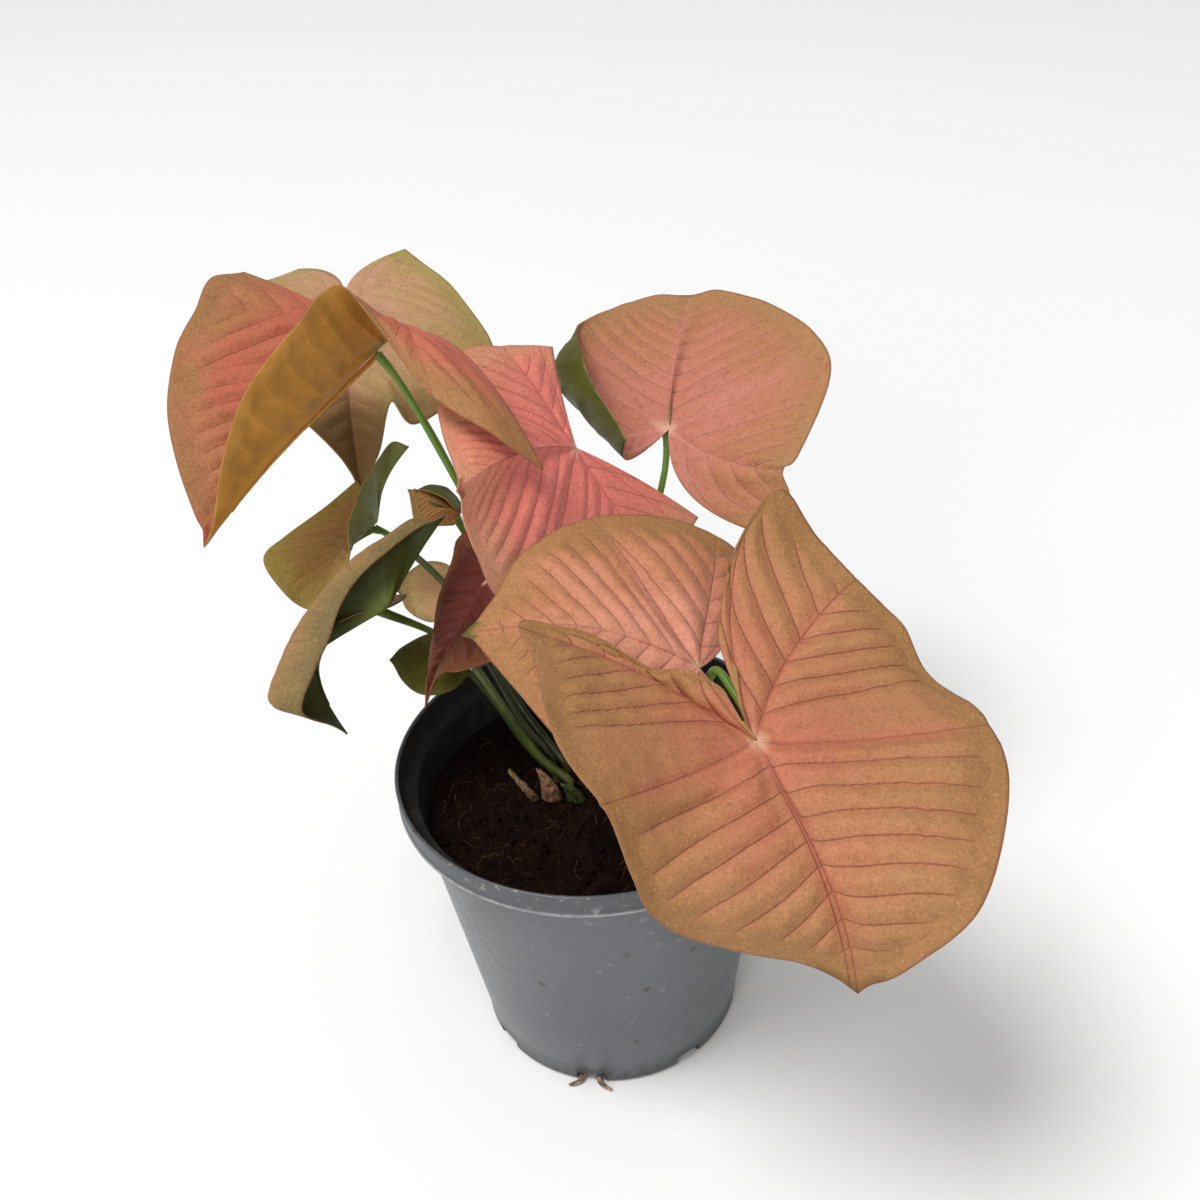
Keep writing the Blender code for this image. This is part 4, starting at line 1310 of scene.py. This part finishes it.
class ARROWHEAD_OT_stage(bpy.types.Operator):
    """Adds the floor, the lights and the camera"""

    bl_idname = "arrowhead.stage"
    bl_label = "Add the stage"

    def execute(self, context):
        settings = context.scene.arrowhead_stage
        mesh = bmesh.new()
        bmesh.ops.create_circle(mesh, cap_ends=True, segments=96, radius=FLOOR_RADIUS)
        data = mesh_data("floor", mesh)
        finish = Finish("floor_paint")
        grain = finish.noise(0.4, 3)
        colour = tuple(settings.floor_colour)
        colour = finish.mix(finish.fade(grain, 0.3, 0.7, 0, 0.3), colour, toned(colour, 0.985))
        data.materials.append(finish.finish(colour, 0.85))
        floor = bpy.data.objects.new("floor", data)
        context.scene.collection.objects.link(floor)
        for name, (place, size, power) in SOFTBOXES.items():
            self.add_light(name, place, size, power * settings.light)
        world = bpy.data.worlds.new("studio")
        world.use_nodes = True
        background = world.node_tree.nodes["Background"]
        background.inputs["Color"].default_value = (1, 1, 1, 1)
        background.inputs["Strength"].default_value = WORLD_LIGHT
        context.scene.world = world
        context.scene.view_settings.view_transform = "Standard"
        self.add_camera(context)
        return {"FINISHED"}

    def add_camera(self, context):
        camera = bpy.data.cameras.new("camera")
        camera.lens = CAMERA_LENS
        camera.sensor_width = CAMERA_SENSOR
        camera.clip_start = 0.01
        holder = bpy.data.objects.new("camera", camera)
        tilt = Matrix.Rotation(math.radians(90 - CAMERA_ELEVATION), 4, "X")
        roll = Matrix.Rotation(math.radians(CAMERA_ROLL), 4, "Z")
        holder.matrix_world = Matrix.Translation(CAMERA_PLACE) @ tilt @ roll
        context.scene.collection.objects.link(holder)
        context.scene.camera = holder

    def add_light(self, name, place, size, power):
        light = bpy.data.lights.new(name, "AREA")
        light.shape = "DISK"
        light.size = size
        light.energy = power
        holder = bpy.data.objects.new(name, light)
        holder.location = place
        holder.rotation_mode = "QUATERNION"
        holder.rotation_quaternion = (Vector(place) - Vector(LIGHTS_AIM)).to_track_quat("Z", "Y")
        bpy.context.scene.collection.objects.link(holder)


class ARROWHEAD_OT_pot(bpy.types.Operator):
    """Adds the grey nursery pot with its rim band and drain slots"""

    bl_idname = "arrowhead.pot"
    bl_label = "Add the pot"

    def execute(self, context):
        settings = context.scene.arrowhead_pot
        lip = settings.lip_radius / MM
        pot = spun_mesh(pot_profile(lip), POT_SEGMENTS)
        # The inner faces have the near-black finish of painted shade with dust, up to the lip.
        for face in pot.faces:
            centre = face.calc_center_median() / MM
            inward = face.normal.x * centre.x + face.normal.y * centre.y < -0.01
            within = inward and centre.z > POT_FLOOR or centre.z > POT_FLOOR - 0.1 and face.normal.z > 0.7
            face.material_index = int(within and centre.z < POT_HEIGHT - lip)
        data = mesh_data("nursery_pot", pot)
        finishes = [pot_finish(settings), pot_inside_shade_finish()]
        made = add_piece("nursery_pot", data, finishes, "pot")
        cutter = self.slot_cutter()
        context.scene.collection.objects.link(cutter)
        boolean = made.modifiers.new("Drain slots", "BOOLEAN")
        boolean.object = cutter
        boolean.operation = "DIFFERENCE"
        boolean.solver = "EXACT"
        graph = context.evaluated_depsgraph_get()
        holed = bpy.data.meshes.new_from_object(made.evaluated_get(graph))
        made.modifiers.clear()
        made.data = holed
        bpy.data.objects.remove(cutter)
        return {"FINISHED"}

    def slot_cutter(self):
        """One block for each drain slot, round the pot's foot."""
        cutters = bmesh.new()
        for index in range(DRAIN_SLOTS):
            angle = math.radians(DRAIN_SLOT_ANGLE + 360 * index / DRAIN_SLOTS)
            cube = bmesh.ops.create_cube(cutters, size=1)["verts"]
            bmesh.ops.scale(cutters, verts=cube, vec=Vector(DRAIN_SLOT_SIZE) * MM)
            bmesh.ops.translate(cutters, verts=cube, vec=(POT_BASE_RADIUS * MM, 0, 0))
            bmesh.ops.rotate(cutters, verts=cube, cent=(0, 0, 0), matrix=Matrix.Rotation(angle, 3, "Z"))
        return bpy.data.objects.new("slot_cutter", mesh_data("slot_cutter", cutters))


class ARROWHEAD_OT_soil(bpy.types.Operator):
    """Adds the potting mix with its crumbs and fibres"""

    bl_idname = "arrowhead.soil"
    bl_label = "Add the soil"

    def execute(self, context):
        settings = context.scene.arrowhead_soil
        chance = random.Random(CHANCE_SEED)
        edge = soil_edge_radius()
        profile = [(0, SOIL_BOTTOM), (POT_BASE_RADIUS - POT_WALL - SOIL_FOOT_GAP, SOIL_BOTTOM)]
        profile += [(edge * (1 - ring / SOIL_RINGS), SOIL_EDGE_HEIGHT) for ring in range(SOIL_RINGS + 1)]
        mesh = spun_mesh(profile, SOIL_SEGMENTS)
        for vertex in mesh.verts:
            if vertex.co.z > SOIL_SURFACE_FROM * MM:
                vertex.co.z = soil_height(vertex.co.x / MM, vertex.co.y / MM, settings) * MM
        finish = soil_finish(settings)
        add_piece("potting_mix", mesh_data("potting_mix", mesh), [finish], "soil")
        self.add_crumbs(settings, chance, edge, finish)
        self.add_fibres(settings, chance, edge)
        return {"FINISHED"}

    def add_crumbs(self, settings, chance, edge, finish):
        """Loose lumps that lie on the soil."""
        crumbs = bmesh.new()
        for index in range(settings.crumbs):
            distance = (edge - CRUMB_SIZES[1]) * math.sqrt(chance.random())
            angle = chance.random() * math.tau
            x = distance * math.cos(angle)
            y = distance * math.sin(angle)
            size = chance.uniform(*CRUMB_SIZES)
            made = bmesh.ops.create_icosphere(crumbs, subdivisions=1, radius=size * MM)["verts"]
            for vertex in made:
                lump = noise.noise(vertex.co / (size * MM) + Vector((index, 0, 0)))
                vertex.co *= 1 + CRUMB_ROUGHNESS * lump
            squash = (1, chance.uniform(*CRUMB_WIDTHS), chance.uniform(*CRUMB_HEIGHTS))
            bmesh.ops.scale(crumbs, verts=made, vec=squash)
            turn = Matrix.Rotation(chance.random() * math.tau, 3, "Z")
            bmesh.ops.rotate(crumbs, verts=made, cent=(0, 0, 0), matrix=turn)
            height = soil_height(x, y, settings) + size * CRUMB_LIFT
            bmesh.ops.translate(crumbs, verts=made, vec=Vector((x, y, height)) * MM)
        add_piece("soil_crumbs", mesh_data("soil_crumbs", crumbs), [finish], None)

    def add_fibres(self, settings, chance, edge):
        """Bent coir fibres that lie on the soil, each lifted a little in its middle."""
        joined = bmesh.new()
        outermost = edge - 0.5
        for index in range(settings.fibres):
            distance = (edge - FIBRE_EDGE_GAP) * math.sqrt(chance.random())
            angle = chance.random() * math.tau
            heading = chance.random() * math.tau
            length = chance.uniform(*FIBRE_LENGTHS)
            bend = chance.uniform(*FIBRE_BENDS)
            lift = chance.uniform(*FIBRE_LIFTS)
            points = []
            for step in range(FIBRE_STEPS + 1):
                share = step / FIBRE_STEPS
                turn = heading + bend * share
                x = distance * math.cos(angle) + length * (share - 0.5) * math.cos(turn)
                y = distance * math.sin(angle) + length * (share - 0.5) * math.sin(turn)
                away = math.hypot(x, y)
                if away > outermost:
                    x *= outermost / away
                    y *= outermost / away
                z = soil_height(x, y, settings) + lift * math.sin(math.pi * share) + FIBRE_REST
                points.append(Vector((x, y, z)) * MM)
            thick = chance.uniform(*FIBRE_RADII)
            radii = [thick * MM * (1 - 0.5 * step / FIBRE_STEPS) for step in range(FIBRE_STEPS + 1)]
            joined.from_mesh(tube_mesh("fibre", points, radii, 0))
        add_piece("coir_fibres", mesh_data("coir_fibres", joined), [fibre_finish()], None)


class ARROWHEAD_OT_leaves(bpy.types.Operator):
    """Adds the twelve blades"""

    bl_idname = "arrowhead.leaves"
    bl_label = "Add the leaves"

    def execute(self, context):
        settings = context.scene.arrowhead_leaves
        noise.seed_set(CHANCE_SEED)
        for name, leaf in LEAVES.items():
            look = LEAF_LOOKS[name]
            finishes = [
                upper_face(name, look, settings),
                under_face(name, look),
                edge_face(name, look, settings),
            ]
            data = blade_mesh("blade_" + name, leaf, look["pleats"], settings)
            made = add_piece("blade_" + name, data, finishes, "leaf_" + name)
            solid = made.modifiers.new("Thickness", "SOLIDIFY")
            solid.thickness = settings.thickness
            solid.offset = -1
            solid.material_offset = 1
            solid.material_offset_rim = 2
        return {"FINISHED"}


class ARROWHEAD_OT_stalks(bpy.types.Operator):
    """Adds the stalks, each with the midrib under its blade"""

    bl_idname = "arrowhead.stalks"
    bl_label = "Add the stalks"

    def execute(self, context):
        settings = context.scene.arrowhead_stalks
        for name, route in STEMS.items():
            finish = stalk_finish(name, 0 if name in LIT_STALKS else SHADE_ON_STALKS, settings)
            joined = bmesh.new()
            pleats = LEAF_LOOKS[name]["pleats"]
            lines = stalk_lines(route, LEAVES[name], pleats, settings, context.scene.arrowhead_leaves)
            for index, (points, radii) in enumerate(lines):
                before = len(joined.faces)
                joined.from_mesh(tube_mesh("stalk_" + name, points, radii))
                joined.faces.ensure_lookup_table()
                for face in joined.faces[before:]:
                    face.material_index = index
            data = mesh_data("stalk_" + name, joined)
            finishes = [finish, rib_finish(name, LEAF_LOOKS[name])]
            add_piece("stalk_" + name, data, finishes, "stem_" + name)
        return {"FINISHED"}


class ARROWHEAD_OT_sheaths(bpy.types.Operator):
    """Adds the short sheaths at the crown"""

    bl_idname = "arrowhead.sheaths"
    bl_label = "Add the sheaths"

    def execute(self, context):
        for name, sheath in SHEATHS.items():
            data = sheath_mesh(name + "_skin", sheath)
            made = add_piece(name + "_skin", data, [sheath_finish(name, sheath)], name)
            solid = made.modifiers.new("Thickness", "SOLIDIFY")
            solid.thickness = SHEATH_THICKNESS * MM
            solid.offset = -1
        return {"FINISHED"}


class ARROWHEAD_OT_roots(bpy.types.Operator):
    """Adds the root tips at the front drain slots"""

    bl_idname = "arrowhead.roots"
    bl_label = "Add the root tips"

    def execute(self, context):
        finish = root_finish()
        for name, route in ROOTS.items():
            shares = [step / ROOT_STEPS for step in range(ROOT_STEPS + 1)]
            points = [along(route, share) * MM for share in shares]
            radii = [ROOT_RADIUS * (1 - ROOT_TAPER * share**2) * MM for share in shares]
            add_piece(name + "_tip", tube_mesh(name + "_tip", points, radii), [finish], name)
        return {"FINISHED"}


class ARROWHEAD_PT_plant(bpy.types.Panel):
    """Lists the plant's pieces and their settings"""

    bl_label = "Arrowhead plant"
    bl_idname = "ARROWHEAD_PT_plant"
    bl_space_type = "VIEW_3D"
    bl_region_type = "UI"
    bl_category = "Arrowhead plant"

    def draw(self, context):
        for name in SETTINGS:
            box = self.layout.box()
            settings = getattr(context.scene, name)
            for each in settings.__annotations__:
                box.prop(settings, each)
        for operator in OPERATORS:
            self.layout.operator(operator.bl_idname)


OPERATORS = (
    ARROWHEAD_OT_stage,
    ARROWHEAD_OT_pot,
    ARROWHEAD_OT_soil,
    ARROWHEAD_OT_leaves,
    ARROWHEAD_OT_stalks,
    ARROWHEAD_OT_sheaths,
    ARROWHEAD_OT_roots,
)
CLASSES = (*SETTINGS.values(), *OPERATORS, ARROWHEAD_PT_plant)


def register():
    for each in CLASSES:
        bpy.utils.register_class(each)
    for name, settings in SETTINGS.items():
        setattr(bpy.types.Scene, name, bpy.props.PointerProperty(type=settings))


def unregister():
    for name in SETTINGS:
        delattr(bpy.types.Scene, name)
    for each in reversed(CLASSES):
        bpy.utils.unregister_class(each)


def main():
    register()
    bpy.ops.arrowhead.stage()
    bpy.ops.arrowhead.pot()
    bpy.ops.arrowhead.soil()
    bpy.ops.arrowhead.leaves()
    bpy.ops.arrowhead.stalks()
    bpy.ops.arrowhead.sheaths()
    bpy.ops.arrowhead.roots()


if __name__ == "__main__":
    main()
